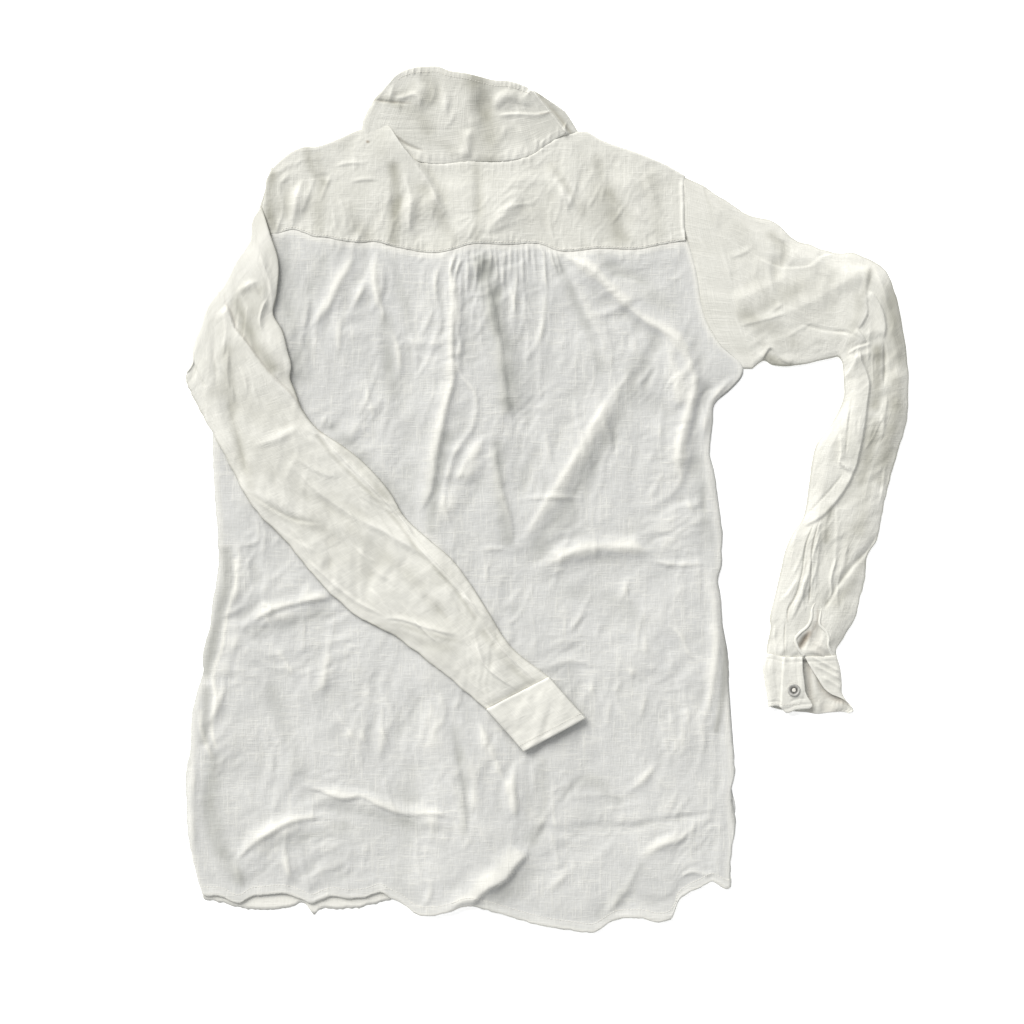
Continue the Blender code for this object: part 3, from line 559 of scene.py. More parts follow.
CUFF_SHADOWS = shades("""
0.32 4.5: 809 655, 809.5 684, 811 712
0.4 7: 820 678, 825 690, 833 696, 845 701
0.3 5: 812 660, 816 672, 820 684
0.16 9: 820 700, 826 707, 836 710
""")

# Painted shade: lines along which grey stands in for shade beside folds and in hollows: how much, how wide
# and along which line
BACK_SHADES = shades("""
0.5 20: 280 248, 284 290, 291 330, 300 372
0.4 12: 330 424, 352 446, 378 474, 400 498
0.42 21: 640 366, 624 406, 598 450, 566 505, 538 548
0.85 19: 484 262, 492 300, 502 345, 510 402
0.35 9: 553 256, 575 300, 592 340, 600 368
0.3 15: 598 262, 636 284, 664 304
0.6 12: 446 436, 436 480, 432 530
0.62 12: 498 446, 500 490, 507 540
0.4 12: 386 318, 388 350, 392 392
0.35 13: 322 262, 312 290, 300 316
0.3 9: 392 258, 404 300, 410 330
0.3 12: 700 462, 703 500, 708 540
0.62 15: 214 760, 212 815, 222 850, 240 876
0.36 13: 262 848, 300 836, 345 826
0.34 12: 256 632, 286 622, 330 612
0.3 14: 272 690, 288 730, 300 770
0.3 11: 318 800, 352 806, 392 818, 450 828
0.45 12: 456 730, 462 770, 464 830
0.4 10: 540 760, 545 800, 534 840
0.32 12: 560 796, 590 780, 618 800
0.3 13: 520 884, 500 900, 476 914
0.28 14: 604 915, 622 895, 640 868
0.25 16: 570 590, 610 600, 640 620
0.25 14: 440 590, 470 600, 520 610
""")
YOKE_SHADES = shades("""
0.6 9: 272 176, 270 192, 269 210, 273 228
0.5 9: 307 150, 312 168, 324 184
0.55 18: 604 190, 612 214, 622 236
0.3 14: 650 180, 656 204, 660 230
0.3 14: 350 212, 356 224, 368 236
0.68 11: 394 168, 396 200, 394 240
0.4 11: 318 158, 321 190, 318 228
0.32 11: 424 190, 440 215, 452 240
0.3 9: 477 166, 479 200, 476 238
0.32 8: 552 166, 562 180, 582 212
0.3 9: 596 160, 608 190, 630 222
""")
LEFT_SLEEVE_SHADES = shades("""
0.42 3.6: 318 436, 333 456, 353 476, 372 495, 399 524, 413 544, 457 592, 475 617
0.35 7: 340 446, 362 466, 384 494, 398 512
0.35 6: 484 632, 497 650, 514 668, 530 682
0.35 4: 372 626, 392 624, 430 634, 462 642
0.85 12: 238 304, 247 325, 257 345, 274 368
0.4 9: 243 290, 248 300, 252 312
0.4 10: 238 296, 254 330, 270 356, 300 392
0.42 10: 229 350, 232 400, 240 445, 252 486
0.34 9: 248 494, 280 514, 325 528
0.3 11: 352 530, 390 560, 440 610
0.3 8: 386 628, 420 640, 458 650
0.3 8: 232 290, 250 292, 262 290
""")
RIGHT_SLEEVE_SHADES = shades("""
0.82 17: 890 292, 897 345, 895 400, 889 440, 880 475
0.8 10: 876 350, 876 380, 874 405
0.6 12: 874 425, 868 455, 862 480
0.4 13: 868 490, 862 510, 858 530
0.5 8: 829 510, 827 522, 825 540
0.45 9: 772 236, 780 246, 784 258
0.35 10: 857 296, 858 315, 850 328
0.85 8: 766 358, 774 362, 788 365
0.5 6: 868 272, 866 284, 861 296
0.4 14: 742 316, 768 326, 790 346
0.62 17: 695 190, 700 230, 706 270, 716 310
0.3 12: 800 285, 780 300, 760 312
0.4 8: 862 564, 850 584, 836 604
0.3 12: 846 610, 838 628, 832 640
0.3 8: 848 540, 846 560, 842 578
""")

# Lines on the body where the cloth is one layer and darker, where it is doubled, and how wide they are
THIN_LINES = (
    (11, ((226, 552), (227, 580), (222, 604), (216, 630), (211, 655), (206, 672))),
    (8, ((207, 690), (206, 715), (204, 740))),
    (6, ((725, 590), (726, 650), (722, 700), (716, 730))),
)
# A small brown speck on the yoke
YOKE_SPECK = ((367.6, 142.5), (368.4, 142.5))
# Lines along which the body's seams stand up
SEAM_LINES = (
    (
        (235, 560), (236.6, 579.7), (231.5, 599.5), (226.5, 619), (225, 632), (220.6, 654), (215, 667.5),
        (214, 683), (216, 696), (213, 713.5), (211.8, 729), (216, 746),
    ),
    ((201, 711), (201, 727), (206, 742), (213, 757)),
    (
        (681.5, 180), (682.5, 207), (683, 230), (688.5, 249), (695.5, 276), (699.8, 304), (705, 322),
        (719, 345),
    ),
)


def ease(amount):
    """0 below 0, 1 above 1, and a smooth step between."""
    amount = np.clip(amount, 0, 1)
    return amount * amount * (3 - 2 * amount)


def blend(first, second, amount):
    return first + (second - first) * amount


def along(table, at):
    """The value, at each place, of the smooth line through the table's rows of place and value."""
    places, values = np.array(table, float).T
    slopes = np.gradient(values, places)
    at = np.clip(at, places[0], places[-1])
    row = np.clip(np.searchsorted(places, at) - 1, 0, len(places) - 2)
    step = places[row + 1] - places[row]
    part = (at - places[row]) / step
    rising = part * part * (3 - 2 * part)
    leaving = part * (1 - part) ** 2 * step * slopes[row]
    arriving = part * part * (part - 1) * step * slopes[row + 1]
    return values[row] * (1 - rising) + values[row + 1] * rising + leaving + arriving


def smooth_line(points, spacing):
    """Points, evenly spaced, of a smooth line through the given ones, and its length."""
    points = np.array(points, float)
    steps = np.hypot(*np.diff(points, axis=0).T)
    places = np.concatenate([(0,), np.cumsum(steps)])
    count = max(2, int(math.ceil(places[-1] / spacing)) + 1)
    at = np.linspace(0, places[-1], count)
    if len(points) == 2:
        line = blend(points[0], points[1], (at / places[-1])[:, None])
    else:
        columns = [along(list(zip(places, points[:, axis])), at) for axis in range(points.shape[1])]
        line = np.stack(columns, axis=-1)
    return line, places[-1]


def from_line(x, y, line):
    """How far places are from a line, on which side of it, and how far along it they are."""
    nearest = np.full(np.shape(x), np.inf)
    side = np.zeros(np.shape(x))
    done = np.zeros(np.shape(x))
    for number in range(len(line) - 1):
        (x0, y0), (dx, dy) = line[number], line[number + 1] - line[number]
        part = np.clip(((x - x0) * dx + (y - y0) * dy) / (dx * dx + dy * dy), 0, 1)
        off_x, off_y = x - x0 - part * dx, y - y0 - part * dy
        distance = np.hypot(off_x, off_y)
        closer = distance < nearest
        nearest = np.where(closer, distance, nearest)
        side = np.where(closer, off_y * dx - off_x * dy, side)
        done = np.where(closer, (number + part) / (len(line) - 1), done)
    return nearest, side, done


def noise(x, y, size, seed):
    """Smooth waves from about -1 to 1, as wide as size."""
    angles = np.random.default_rng(seed).random((NOISE_CELLS, NOISE_CELLS)) * 2 * math.pi
    across, down = x / size + NOISE_START[0], y / size + NOISE_START[1]
    column, row = np.floor(across).astype(int), np.floor(down).astype(int)
    part_x, part_y = across - column, down - row
    total = np.zeros(np.shape(x))
    for step_x in (0, 1):
        for step_y in (0, 1):
            angle = angles[(column + step_x) % NOISE_CELLS, (row + step_y) % NOISE_CELLS]
            off_x, off_y = part_x - step_x, part_y - step_y
            weight = ease(1 - np.abs(off_x)) * ease(1 - np.abs(off_y))
            total += weight * (np.cos(angle) * off_x + np.sin(angle) * off_y)
    return total * NOISE_GAIN


def line_noise(at, size, seed):
    """Smooth waves from about -1 to 1 along one direction."""
    return noise(at * 1.0, at * 0, size, seed)


def one_way_folds(x, y, heading, across, run, seed):
    """Soft folds with crisp crests that run about one way, from about -1 to 0.5."""
    way_x, way_y = math.cos(math.radians(heading)), math.sin(math.radians(heading))
    beside = x * way_y - y * way_x + 0.9 * across * noise(x, y, 3.4 * across, seed + 1)
    beside = beside + 0.3 * across * noise(x, y, 1.3 * across, seed + 2)
    onward = (x * way_x + y * way_y) * across / run
    wave = noise(beside, onward, across, seed)
    return 0.5 - 2.4 * np.sqrt(wave**2 + 0.003)


# Crumple folds: strength, turn from the heading, width, run and step of the seed
MAIN_CRUMPLE = ((1.25, 0, 19, 85, 0), (0.5, 16, 9, 40, 9))
CROSS_CRUMPLE = ((1.1, 64, 22, 70, 18), (0.5, 48, 9, 34, 27))
SMALL_CRUMPLE = ((0.2, 25, 5, 17, 50),)


def crumpled(x, y, seed, heading):
    """The unevenness of worn linen all over, in millimetres, about its own middle."""
    main, cross, small = (
        sum(
            strength * one_way_folds(x, y, heading + turn, across, run, seed + step)
            for strength, turn, across, run, step in rows
        )
        for rows in (MAIN_CRUMPLE, CROSS_CRUMPLE, SMALL_CRUMPLE)
    )
    calm = ease(0.5 + 1.3 * noise(x, y, 75, seed + 40))
    other = ease(0.5 + 1.5 * noise(x, y, 95, seed + 41))
    folds = blend(main, cross, other) * (0.45 + 0.75 * calm) + small
    return 1.7 * noise(x, y, 66, seed + 43) + 0.7 * noise(x, y, 30, seed + 44) + 0.8 * folds


def ridge(x, y, crease):
    """How high a crease raises the cloth at each place. Its height varies, and it fades out at its ends."""
    line, length = smooth_line(crease.line, 4)
    reach = max(crease.left, crease.right)
    (low_x, low_y), (high_x, high_y) = line.min(axis=0) - reach, line.max(axis=0) + reach
    inside = (x > low_x) & (x < high_x) & (y > low_y) & (y < high_y)
    raised = np.zeros(np.shape(x))
    if not inside.any():
        return raised
    distance, side, done = from_line(x[inside], y[inside], line)
    width = np.where(side > 0, crease.right, crease.left)
    fade = min(crease.fade, 0.45 * length)
    ends = ease(np.minimum(done, 1 - done) * length / fade)
    wave = 0.86 + 0.3 * noise(done * length, done * 0 + line[0, 0], 23, 90)
    narrow = 0.5 + 0.5 * ends
    part = np.clip(distance / (width * narrow), 0, 1)
    raised[inside] = crease.height * ends * wave * (1 - part**crease.crest) ** 2
    return raised


def creased(x, y, creases):
    return sum(ridge(x, y, crease) for crease in creases)


def from_placket(x, y):
    return x - along(PLACKET_MIDDLE, y)


def fronts_height(x, y):
    """A smooth cover over the upper sides of the two fronts."""
    beyond = np.abs(from_placket(x, y)) - PLACKET_HALF_WIDTH - 4
    return WALL + OVER_PLACKET * (1 - ease(beyond / (PLACKET_SLOPE + 4)))


def edge_distance(x, y):
    """How far a place lies inside the body's sides and hem."""
    return np.minimum(sides_distance(x, y), along(BACK_HEM, x) - y)


def body_level(x, y):
    """The height of the body's upper side before its folds."""
    slack = BACK_SLACK * ease(edge_distance(x, y) / EDGE_ROLL)
    return fronts_height(x, y) + GAP + WALL + BACK_CLEARANCE + slack


def rolled(distance, radius):
    """From 0 at a rolled edge to 1 at its radius inside it."""
    part = np.clip(distance / radius, 0, 1)
    return np.sqrt(part * (2 - part))


def not_below(height, floor, softness=0.6):
    """The height, kept softly above a floor."""
    over = height - floor
    return floor + (over + np.sqrt(over * over + softness * softness)) / 2


def gathers():
    """Small folds that the gathered seam sends down into the back."""
    draw = np.random.default_rng(5)
    made = []
    for x in np.linspace(GATHER_START, GATHER_END, 20):
        length = draw.uniform(16, 58)
        lean = draw.uniform(-5, 6) + 0.12 * (x - 500)
        top = along(YOKE_SEAM, x) - 4
        line = ((x, top), (x + lean * 0.4, top + length * 0.5 + 3), (x + lean, top + length + 6))
        made.append(Crease(draw.uniform(1.7, 2.8), 3.0, 3.0, line))
    return made


def puckers(seam, start, end, pitch, way, seed, height):
    """Short folds that stand on one side of a seam."""
    draw = np.random.default_rng(seed)
    made = []
    x = start
    while x < end:
        length = draw.uniform(5, 17)
        foot = along(seam, x) - 3 * way
        line = ((x, foot), (x + draw.uniform(-1.5, 1.5), foot + way * (length * 0.5 + 3)))
        line += ((x + draw.uniform(-3, 3), foot + way * (length + 5)),)
        made.append(Crease(height * draw.uniform(0.5, 1.2), 2.8, 2.8, line))
        x += pitch * draw.uniform(0.7, 1.35)
    return made


def fine_folds(zones, seed):
    """Thin low folds, spread at random over zones, each about its zone's heading."""
    draw = np.random.default_rng(seed)
    made = []
    for count, (left, top, right, bottom), heading, spread, longest in zones:
        for _ in range(count):
            way = math.radians(heading + draw.uniform(-spread, spread))
            bend = math.radians(draw.uniform(-16, 16))
            x, y = draw.uniform(left, right), draw.uniform(top, bottom)
            line = [(x, y)]
            step = draw.uniform(0.35, 1) * longest / 3
            for number in range(3):
                x += step * math.cos(way + number * bend)
                y += step * math.sin(way + number * bend)
                line.append((x, y))
            sides = (draw.uniform(2.6, 3.6), draw.uniform(3.5, 8))
            sides = sides if draw.random() < 0.7 else sides[::-1]
            height = draw.uniform(0.6, 1.25)
            made.append(Crease(height, sides[0], sides[1], tuple(line), SHARP, 12))
    return made


BACK_FINE = fine_folds((
    (20, (285, 262, 440, 440), 100, 16, 80),
    (22, (446, 254, 560, 300), 91, 10, 120),
    (16, (565, 300, 700, 440), 82, 20, 80),
    (12, (440, 420, 700, 560), 100, 24, 80),
    (14, (228, 500, 330, 620), 100, 34, 50),
    (20, (480, 560, 705, 720), 96, 30, 60),
    (26, (214, 640, 470, 850), 96, 24, 70),
    (20, (470, 740, 715, 870), 100, 40, 60),
), 61)
YOKE_FINE = fine_folds(((22, (284, 160, 660, 215), 96, 26, 50),), 62)
LEFT_SLEEVE_FINE = fine_folds((
    (12, (215, 270, 262, 400), 75, 20, 50),
    (16, (250, 420, 380, 540), 46, 16, 80),
    (14, (360, 540, 480, 650), 42, 14, 60),
), 63)
RIGHT_SLEEVE_FINE = fine_folds((
    (8, (705, 215, 850, 340), 158, 14, 60),
    (12, (850, 300, 895, 470), 95, 14, 60),
    (16, (785, 490, 870, 640), 105, 12, 60),
), 64)
COLLAR_FINE = fine_folds(((12, (385, 85, 540, 130), 95, 20, 30),), 65)
GATHERS = gathers()
SEAM_PUCKERS = puckers(YOKE_SEAM, 284, 680, 8, -1, 21, 0.8)
BELOW_PUCKERS = puckers(YOKE_SEAM, 284, 446, 9, 1, 22, 0.7) + puckers(YOKE_SEAM, 560, 680, 9, 1, 23, 0.7)
STAND_PUCKERS = puckers(NECK_SEAM, 420, 566, 7, -1, 24, 1.3)
NECK_PUCKERS = puckers(NECK_SEAM, 420, 570, 9, 1, 25, 0.7)


def body_crumple(x, y):
    """The body's unevenness, calmer on the doubled yoke. It runs on through the seam."""
    strength = blend(0.78, 1, ease((y - along(YOKE_SEAM, x) + 14) / 28))
    return strength * crumpled(x, y, 400, 97)


def sides_distance(x, y):
    """How far a place lies inside the body's two sides."""
    return np.minimum(x - along(BODY_LEFT, y), along(BODY_RIGHT, y) - x)


def back_height(x, y):
    """The height of the lower back's upper side."""
    inside = edge_distance(x, y)
    raised = GAIN * creased(x, y, BACK_CREASES) + creased(x, y, GATHERS + BELOW_PUCKERS + BACK_FINE)
    raised += BROAD_GAIN * creased(x, y, BACK_FOLDS)
    raised += creased(x, y, [Crease(1.3, 2.6, 2.6, line, SHARP, 10) for line in SEAM_LINES])
    raised += body_crumple(x, y) * ease(inside / 24)
    level = body_level(x, y)
    height = level + 0.6 + raised * ease((inside + 2) / 10)
    return not_below(height, level - 1.0 * ease(inside / 20))


def by_neck(x):
    """1 where the yoke meets the collar and 0 at the shoulders."""
    return ease((x - 400) / 30) * ease((600 - x) / 25)


def yoke_height(x, y):
    """The height of the yoke's upper side."""
    below_top = y - along(YOKE_TOP, x)
    raised = GAIN * creased(x, y, YOKE_CREASES) + creased(x, y, SEAM_PUCKERS + YOKE_FINE)
    raised += 1.1 * creased(x, y, YOKE_FOLDS) + body_crumple(x, y)
    raised += ridge(x, y, Crease(1.6, 3, 3, SEAM_LINES[-1], SHARP, 6))
    level = body_level(x, np.maximum(y, SEAM_LEVEL)) + DOUBLED_WALL - WALL
    below_neck = y - along(NECK_SEAM, x)
    level = blend(level, NECK_LEVEL, by_neck(x) * (1 - ease(below_neck / 50)))
    over_seam = 0.35 * ease((y - SHOULDER_LEVEL) / 40)
    shoulder = ridge(x, y, SHOULDER_EDGE)
    height = level + over_seam + 0.4 + raised * ease((below_top + 1) / 12) + shoulder
    height += creased(x, y, NECK_PUCKERS) * ease((below_top + 4) / 5)
    return not_below(height, level + shoulder * 0.9 - 0.5)


def body_height(x, y):
    return np.where(y < along(YOKE_SEAM, x), yoke_height(x, y), back_height(x, y))


def softened(grid, times):
    """The grid after each value has moved towards its neighbours, a number of times."""
    for _ in range(times):
        wide = np.pad(grid, 1, mode="edge")
        beside = wide[:-2, 1:-1], wide[2:, 1:-1], wide[1:-1, :-2], wide[1:-1, 2:]
        grid = sum(beside, wide[1:-1, 1:-1] * 4) / 8
    return grid


# The body's height on a grid of places, to lay other pieces on
MAP_LEFT, MAP_TOP, MAP_STEP = 180, 160, 2.0
MAP_PLACES = np.meshgrid(np.arange(MAP_LEFT, 744, MAP_STEP), np.arange(MAP_TOP, 940, MAP_STEP))
BODY_MAP = softened(body_height(*MAP_PLACES), 3)


def on_body(x, y):
    """The body's height, read from the map."""
    column = np.clip((x - MAP_LEFT) / MAP_STEP, 0, BODY_MAP.shape[1] - 1.001)
    row = np.clip((y - MAP_TOP) / MAP_STEP, 0, BODY_MAP.shape[0] - 1.001)
    left, top = column.astype(int), row.astype(int)
    part_x, part_y = column - left, row - top
    upper = blend(BODY_MAP[top, left], BODY_MAP[top, left + 1], part_x)
    lower = blend(BODY_MAP[top + 1, left], BODY_MAP[top + 1, left + 1], part_x)
    return blend(upper, lower, part_y)


def sleeve_rest(x, y):
    """The height on which the left sleeve lies: the body, its own start, and the surface beside them."""
    edge = along(BODY_LEFT, y)
    outside = ease((edge - x) / 30)
    own_start = 4.6 * (1 - ease((y - 376) / 64))
    return not_below(blend(on_body(np.maximum(x, edge), y), 0.4, outside), own_start, 2.0)


def over_body(x, y):
    return sleeve_rest(x, y) + SLEEVE_CLEARANCE


def world(places):
    """Layout places with heights, in millimetres, as points in metres."""
    x = CAD_LOW[0] + (places[..., 0] - LAYOUT_LEFT) * MM
    y = CAD_HIGH[1] - (places[..., 1] - LAYOUT_TOP) * MM
    return np.stack([x, y, places[..., 2] * MM], axis=-1)


def stops(count, step):
    return list(range(0, count - 1, step)) + [count - 1]


def faces_over(index, step=1, turned=False):
    """Faces over a grid of point numbers. With a step above 1, only its border keeps all its points."""
    rows, columns = index.shape
    if step == 1:
        corners = (index[:-1, :-1], index[1:, :-1], index[1:, 1:], index[:-1, 1:])
        faces = np.stack(corners, axis=-1).reshape(-1, 4).tolist()
    else:
        faces = []
        for top, bottom in zip(stops(rows, step), stops(rows, step)[1:]):
            for left, right in zip(stops(columns, step), stops(columns, step)[1:]):
                down = range(top, bottom) if left == 0 else (top,)
                across = range(left, right) if bottom == rows - 1 else (left,)
                up = range(bottom, top, -1) if right == columns - 1 else (bottom,)
                home = range(right, left, -1) if top == 0 else (right,)
                faces.append(
                    [int(index[row, left]) for row in down]
                    + [int(index[bottom, column]) for column in across]
                    + [int(index[row, right]) for row in up]
                    + [int(index[top, column]) for column in home]
                )
    return [face[::-1] for face in faces] if turned else faces


def strip(first, second):
    """Faces between two rows of point numbers."""
    return np.stack([first[:-1], first[1:], second[1:], second[:-1]], axis=-1).tolist()


def lowest_near(grid, reach):
    """The lowest value within a number of points of each one."""
    for axis in (0, 1):
        wide = np.pad(grid, [(reach, reach) if axis == other else (0, 0) for other in (0, 1)], mode="edge")
        size = grid.shape[axis]
        shifted = [np.take(wide, range(start, start + size), axis=axis) for start in range(2 * reach + 1)]
        grid = np.minimum.reduce(shifted)
    return grid


def placed(name, data):
    """A new object with its data, put into the scene."""
    made = bpy.data.objects.new(name, data)
    bpy.context.scene.collection.objects.link(made)
    return made


def placed_shape(name, shape):
    """A new object with a worked shape as its mesh."""
    mesh = bpy.data.meshes.new(name)
    shape.to_mesh(mesh)
    shape.free()
    return placed(name, mesh)


def new_piece(name, points, faces, cloth_places, look, material):
    """A mesh object from layout points and faces, with its cloth map and its colour marks."""
    points = np.column_stack([points[:, :2], np.maximum(points[:, 2], 0)])
    used = np.unique(np.concatenate([np.ravel(face) for face in faces]))
    renumbered = np.full(len(points), -1)
    renumbered[used] = np.arange(len(used))
    mesh = bpy.data.meshes.new(name)
    mesh.from_pydata(world(points[used]).tolist(), [], [renumbered[face].tolist() for face in faces])
    shape = bmesh.new()
    shape.from_mesh(mesh)
    bmesh.ops.recalc_face_normals(shape, faces=shape.faces)
    shape.to_mesh(mesh)
    shape.free()
    corners = np.zeros(len(mesh.loops), int)
    mesh.loops.foreach_get("vertex_index", corners)
    uv = mesh.uv_layers.new(name=CLOTH_MAP)
    uv.data.foreach_set("uv", (cloth_places[used][corners] / MAP_UNIT).ravel())
    marks = mesh.color_attributes.new(name=LOOK, type="FLOAT_COLOR", domain="POINT")
    opaque = np.column_stack([look[used], np.ones(len(used))])
    marks.data.foreach_set("color", opaque.ravel())
    mesh.materials.append(material)
    mesh.shade_smooth()
    piece = placed(name, mesh)
    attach(piece, "root")
    return piece


def high_and_low(height):
    """How far each point of a grid lies above and below its surroundings, both from 0 to 1, for painted
    highlight and painted shade.
    """
    over = (height - softened(height, SURROUNDINGS)) / FULL_RELIEF
    return ease(over), ease(-over)


def below_top(inner, side, height):
    """The inner side's height, kept under the upper side with its creases."""
    return np.where(side > 0, np.minimum(inner, lowest_near(height, INNER_STEP) - 0.5), inner)


def thin_shell(name, outer, wall, cloth_places, look, material, inner=None, step=INNER_STEP):
    """A sheet with two sides and a rim. The inner side lies under the outer one unless it is given."""
    rows, columns = outer.shape[:2]
    if inner is None:
        inner = outer.copy()
        inner[..., 2] = lowest_near(outer[..., 2], step) - wall
        border = np.ones((rows, columns), bool)
        border[1:-1, 1:-1] = False
        inner[border, 2] = outer[border, 2] - wall
    index = np.arange(rows * columns).reshape(rows, columns)
    below = index + rows * columns
    faces = faces_over(index) + faces_over(below, step, turned=True)
    faces += strip(index[0], below[0]) + strip(below[-1], index[-1])
    faces += strip(below[:, 0], index[:, 0]) + strip(index[:, -1], below[:, -1])
    points = np.concatenate([outer.reshape(-1, 3), inner.reshape(-1, 3)])
    twice = np.concatenate([cloth_places.reshape(-1, 2)] * 2)
    marks = np.concatenate([look.reshape(-1, 3)] * 2)
    return new_piece(name, points, faces, twice, marks, material)


def thin_tube(name, upper, lower, inner_upper, inner_lower, cloth_places, look):
    """A pressed tube of doubled-looking linen. Its upper and lower halves share their edges."""
    rows, columns = upper.shape[:2]
    count = rows * columns
    index = np.arange(count).reshape(rows, columns)
    under, roof, ground = index + count, index + 2 * count, index + 3 * count
    for half, other in ((under, index), (ground, roof)):
        half[:, 0] = other[:, 0]
        half[:, -1] = other[:, -1]
    faces = faces_over(index) + faces_over(under, INNER_STEP, turned=True)
    faces += faces_over(roof, INNER_STEP, turned=True) + faces_over(ground, INNER_STEP)
    faces += strip(index[0], roof[0]) + strip(ground[0], under[0])
    faces += strip(roof[-1], index[-1]) + strip(under[-1], ground[-1])
    grids = (upper, lower, inner_upper, inner_lower)
    points = np.concatenate([grid.reshape(-1, 3) for grid in grids])
    four = np.concatenate([cloth_places.reshape(-1, 2)] * 4)
    marks = np.concatenate([look.reshape(-1, 3)] * 4)
    return new_piece(name, points, faces, four, marks, DOUBLED)


def shaded(x, y, shades):
    """How much shade is painted at each place, from 0 to 1."""
    grey = np.zeros(np.shape(x))
    for amount, width, points in shades:
        grey = np.maximum(grey, amount * near_line(x, y, points, width))
    return grey * (0.8 + 0.4 * noise(x, y, 17, 301))


def marked(warm, grey=0, brown=0):
    """A grid's colour marks: how warm, for thick cloth and painted highlight; how grey, for thin cloth and
    painted shade; and how brown, for stains and painted shadow.
    """
    return np.clip(np.stack(np.broadcast_arrays(warm, grey, brown), axis=-1), 0, 1)


def near_line(x, y, points, width):
    """1 on a line and 0 at its width beside it."""
    distance = from_line(x, y, smooth_line(points, 6)[0])[0]
    return 1 - ease(distance / width)


# Materials

# Brown: a speck on the yoke and the line along the yoke seam, and painted shadow in creases, under a fold's
# edge, in the slit and in the cuff's turn
STAIN_AND_SHADOW = (0.3, 0.24, 0.18)
WEAVE_PITCH = 1.25
THREAD_SIZE = (0.9, 13)
SLUB_SIZE = (1.5, 22)


def add_node(tree, kind, **settings):
    node = tree.nodes.new(kind)
    for name, value in settings.items():
        setattr(node, name, value)
    return node


def streaks(tree, places, across, along_thread, detail):
    """Noise stretched along one thread direction."""
    mapping = add_node(tree, "ShaderNodeMapping")
    set_inputs(mapping, Scale=(MAP_UNIT / across, MAP_UNIT / along_thread, 1))
    waves = add_node(tree, "ShaderNodeTexNoise", noise_dimensions="2D")
    set_inputs(waves, Scale=1.0, Detail=detail, Roughness=0.6)
    tree.links.new(places, mapping.inputs["Vector"])
    tree.links.new(mapping.outputs["Vector"], waves.inputs["Vector"])
    return waves.outputs["Fac"]


def both_ways(tree, places, across, run, detail=2.0):
    """Streaks along the upright threads and along the level ones."""
    return streaks(tree, places, across, run, detail), streaks(tree, places, run, across, detail)


def set_inputs(node, **values):
    """Give a node's inputs values. An underscore stands for a space."""
    for name, value in values.items():
        node.inputs[name.replace("_", " ")].default_value = value


def math_node(tree, operation, first, second):
    node = add_node(tree, "ShaderNodeMath", operation=operation)
    for socket, value in zip(node.inputs, (first, second)):
        if isinstance(value, (int, float)):
            socket.default_value = value
        else:
            tree.links.new(value, socket)
    return node.outputs["Value"]


def mixed(tree, amount, first, second):
    """A colour mix. A plain colour or a socket may stand on either side."""
    node = add_node(tree, "ShaderNodeMix", data_type="RGBA")
    tree.links.new(amount, node.inputs["Factor"])
    for name, value in (("A", first), ("B", second)):
        socket = next(s for s in node.inputs if s.name == name and s.type == "RGBA")
        if isinstance(value, tuple):
            socket.default_value = (*value, 1)
        else:
            tree.links.new(value, socket)
    return next(s for s in node.outputs if s.type == "RGBA")


def stretched(tree, value, low, high):
    """A value's range from low to high, spread over 0 to 1."""
    node = add_node(tree, "ShaderNodeMapRange", interpolation_type="SMOOTHSTEP")
    set_inputs(node, From_Min=low, From_Max=high)
    tree.links.new(value, node.inputs["Value"])
    return node.outputs["Result"]


def bumped(tree, height, strength, distance, before=None):
    node = add_node(tree, "ShaderNodeBump")
    set_inputs(node, Strength=strength, Distance=distance)
    tree.links.new(height, node.inputs["Height"])
    if before is not None:
        tree.links.new(before, node.inputs["Normal"])
    return node.outputs["Normal"]


def new_material(name):
    material = bpy.data.materials.new(name)
    material.use_nodes = True
    tree = material.node_tree
    return material, tree, tree.nodes["Principled BSDF"]


def pulled_threads(tree, places, across, along_thread):
    """Soft streaks, from 0 to 1, along one thread direction, in patches."""
    lines = stretched(tree, streaks(tree, places, across, along_thread, 2.0), 0.5, 0.72)
    parts = stretched(tree, streaks(tree, places, 40, 50, 1.0), 0.4, 0.6)
    return math_node(tree, "MULTIPLY", lines, parts)


def mixed_by_share(tree, amount, share, first, second):
    """A colour mix by a share of an amount."""
    return mixed(tree, math_node(tree, "MULTIPLY", amount, share), first, second)


def between_threads(tree, threads, colour, darkness):
    """A colour, darker between the threads."""
    return mixed(tree, threads, tuple(darkness * channel for channel in colour), colour)


def linen_colour(tree, places, threads, slubs, grain, colours):
    """Linen's colour, with patches, thick threads and the marks for thick, thin and stained places and for
    painted highlight, shade and shadow.
    """
    plain, thread, doubled, shade = colours
    patches = stretched(tree, streaks(tree, places, 46, 60, 3.0), 0.3, 0.7)
    marks = add_node(tree, "ShaderNodeAttribute", attribute_name=LOOK)
    split = add_node(tree, "ShaderNodeSeparateColor")
    tree.links.new(marks.outputs["Color"], split.inputs["Color"])
    warm, grey, brown = (split.outputs[channel] for channel in ("Red", "Green", "Blue"))
    colour = mixed(tree, threads, thread, plain)
    colour = mixed_by_share(tree, patches, 0.42, colour, thread)
    colour = mixed_by_share(tree, slubs, 0.3, colour, doubled)
    colour = mixed_by_share(tree, grain, 0.3, colour, doubled)
    colour = mixed(tree, warm, colour, between_threads(tree, threads, doubled, 0.955))
    colour = mixed(tree, grey, colour, between_threads(tree, threads, shade, 0.86))
    return mixed(tree, brown, colour, STAIN_AND_SHADOW)


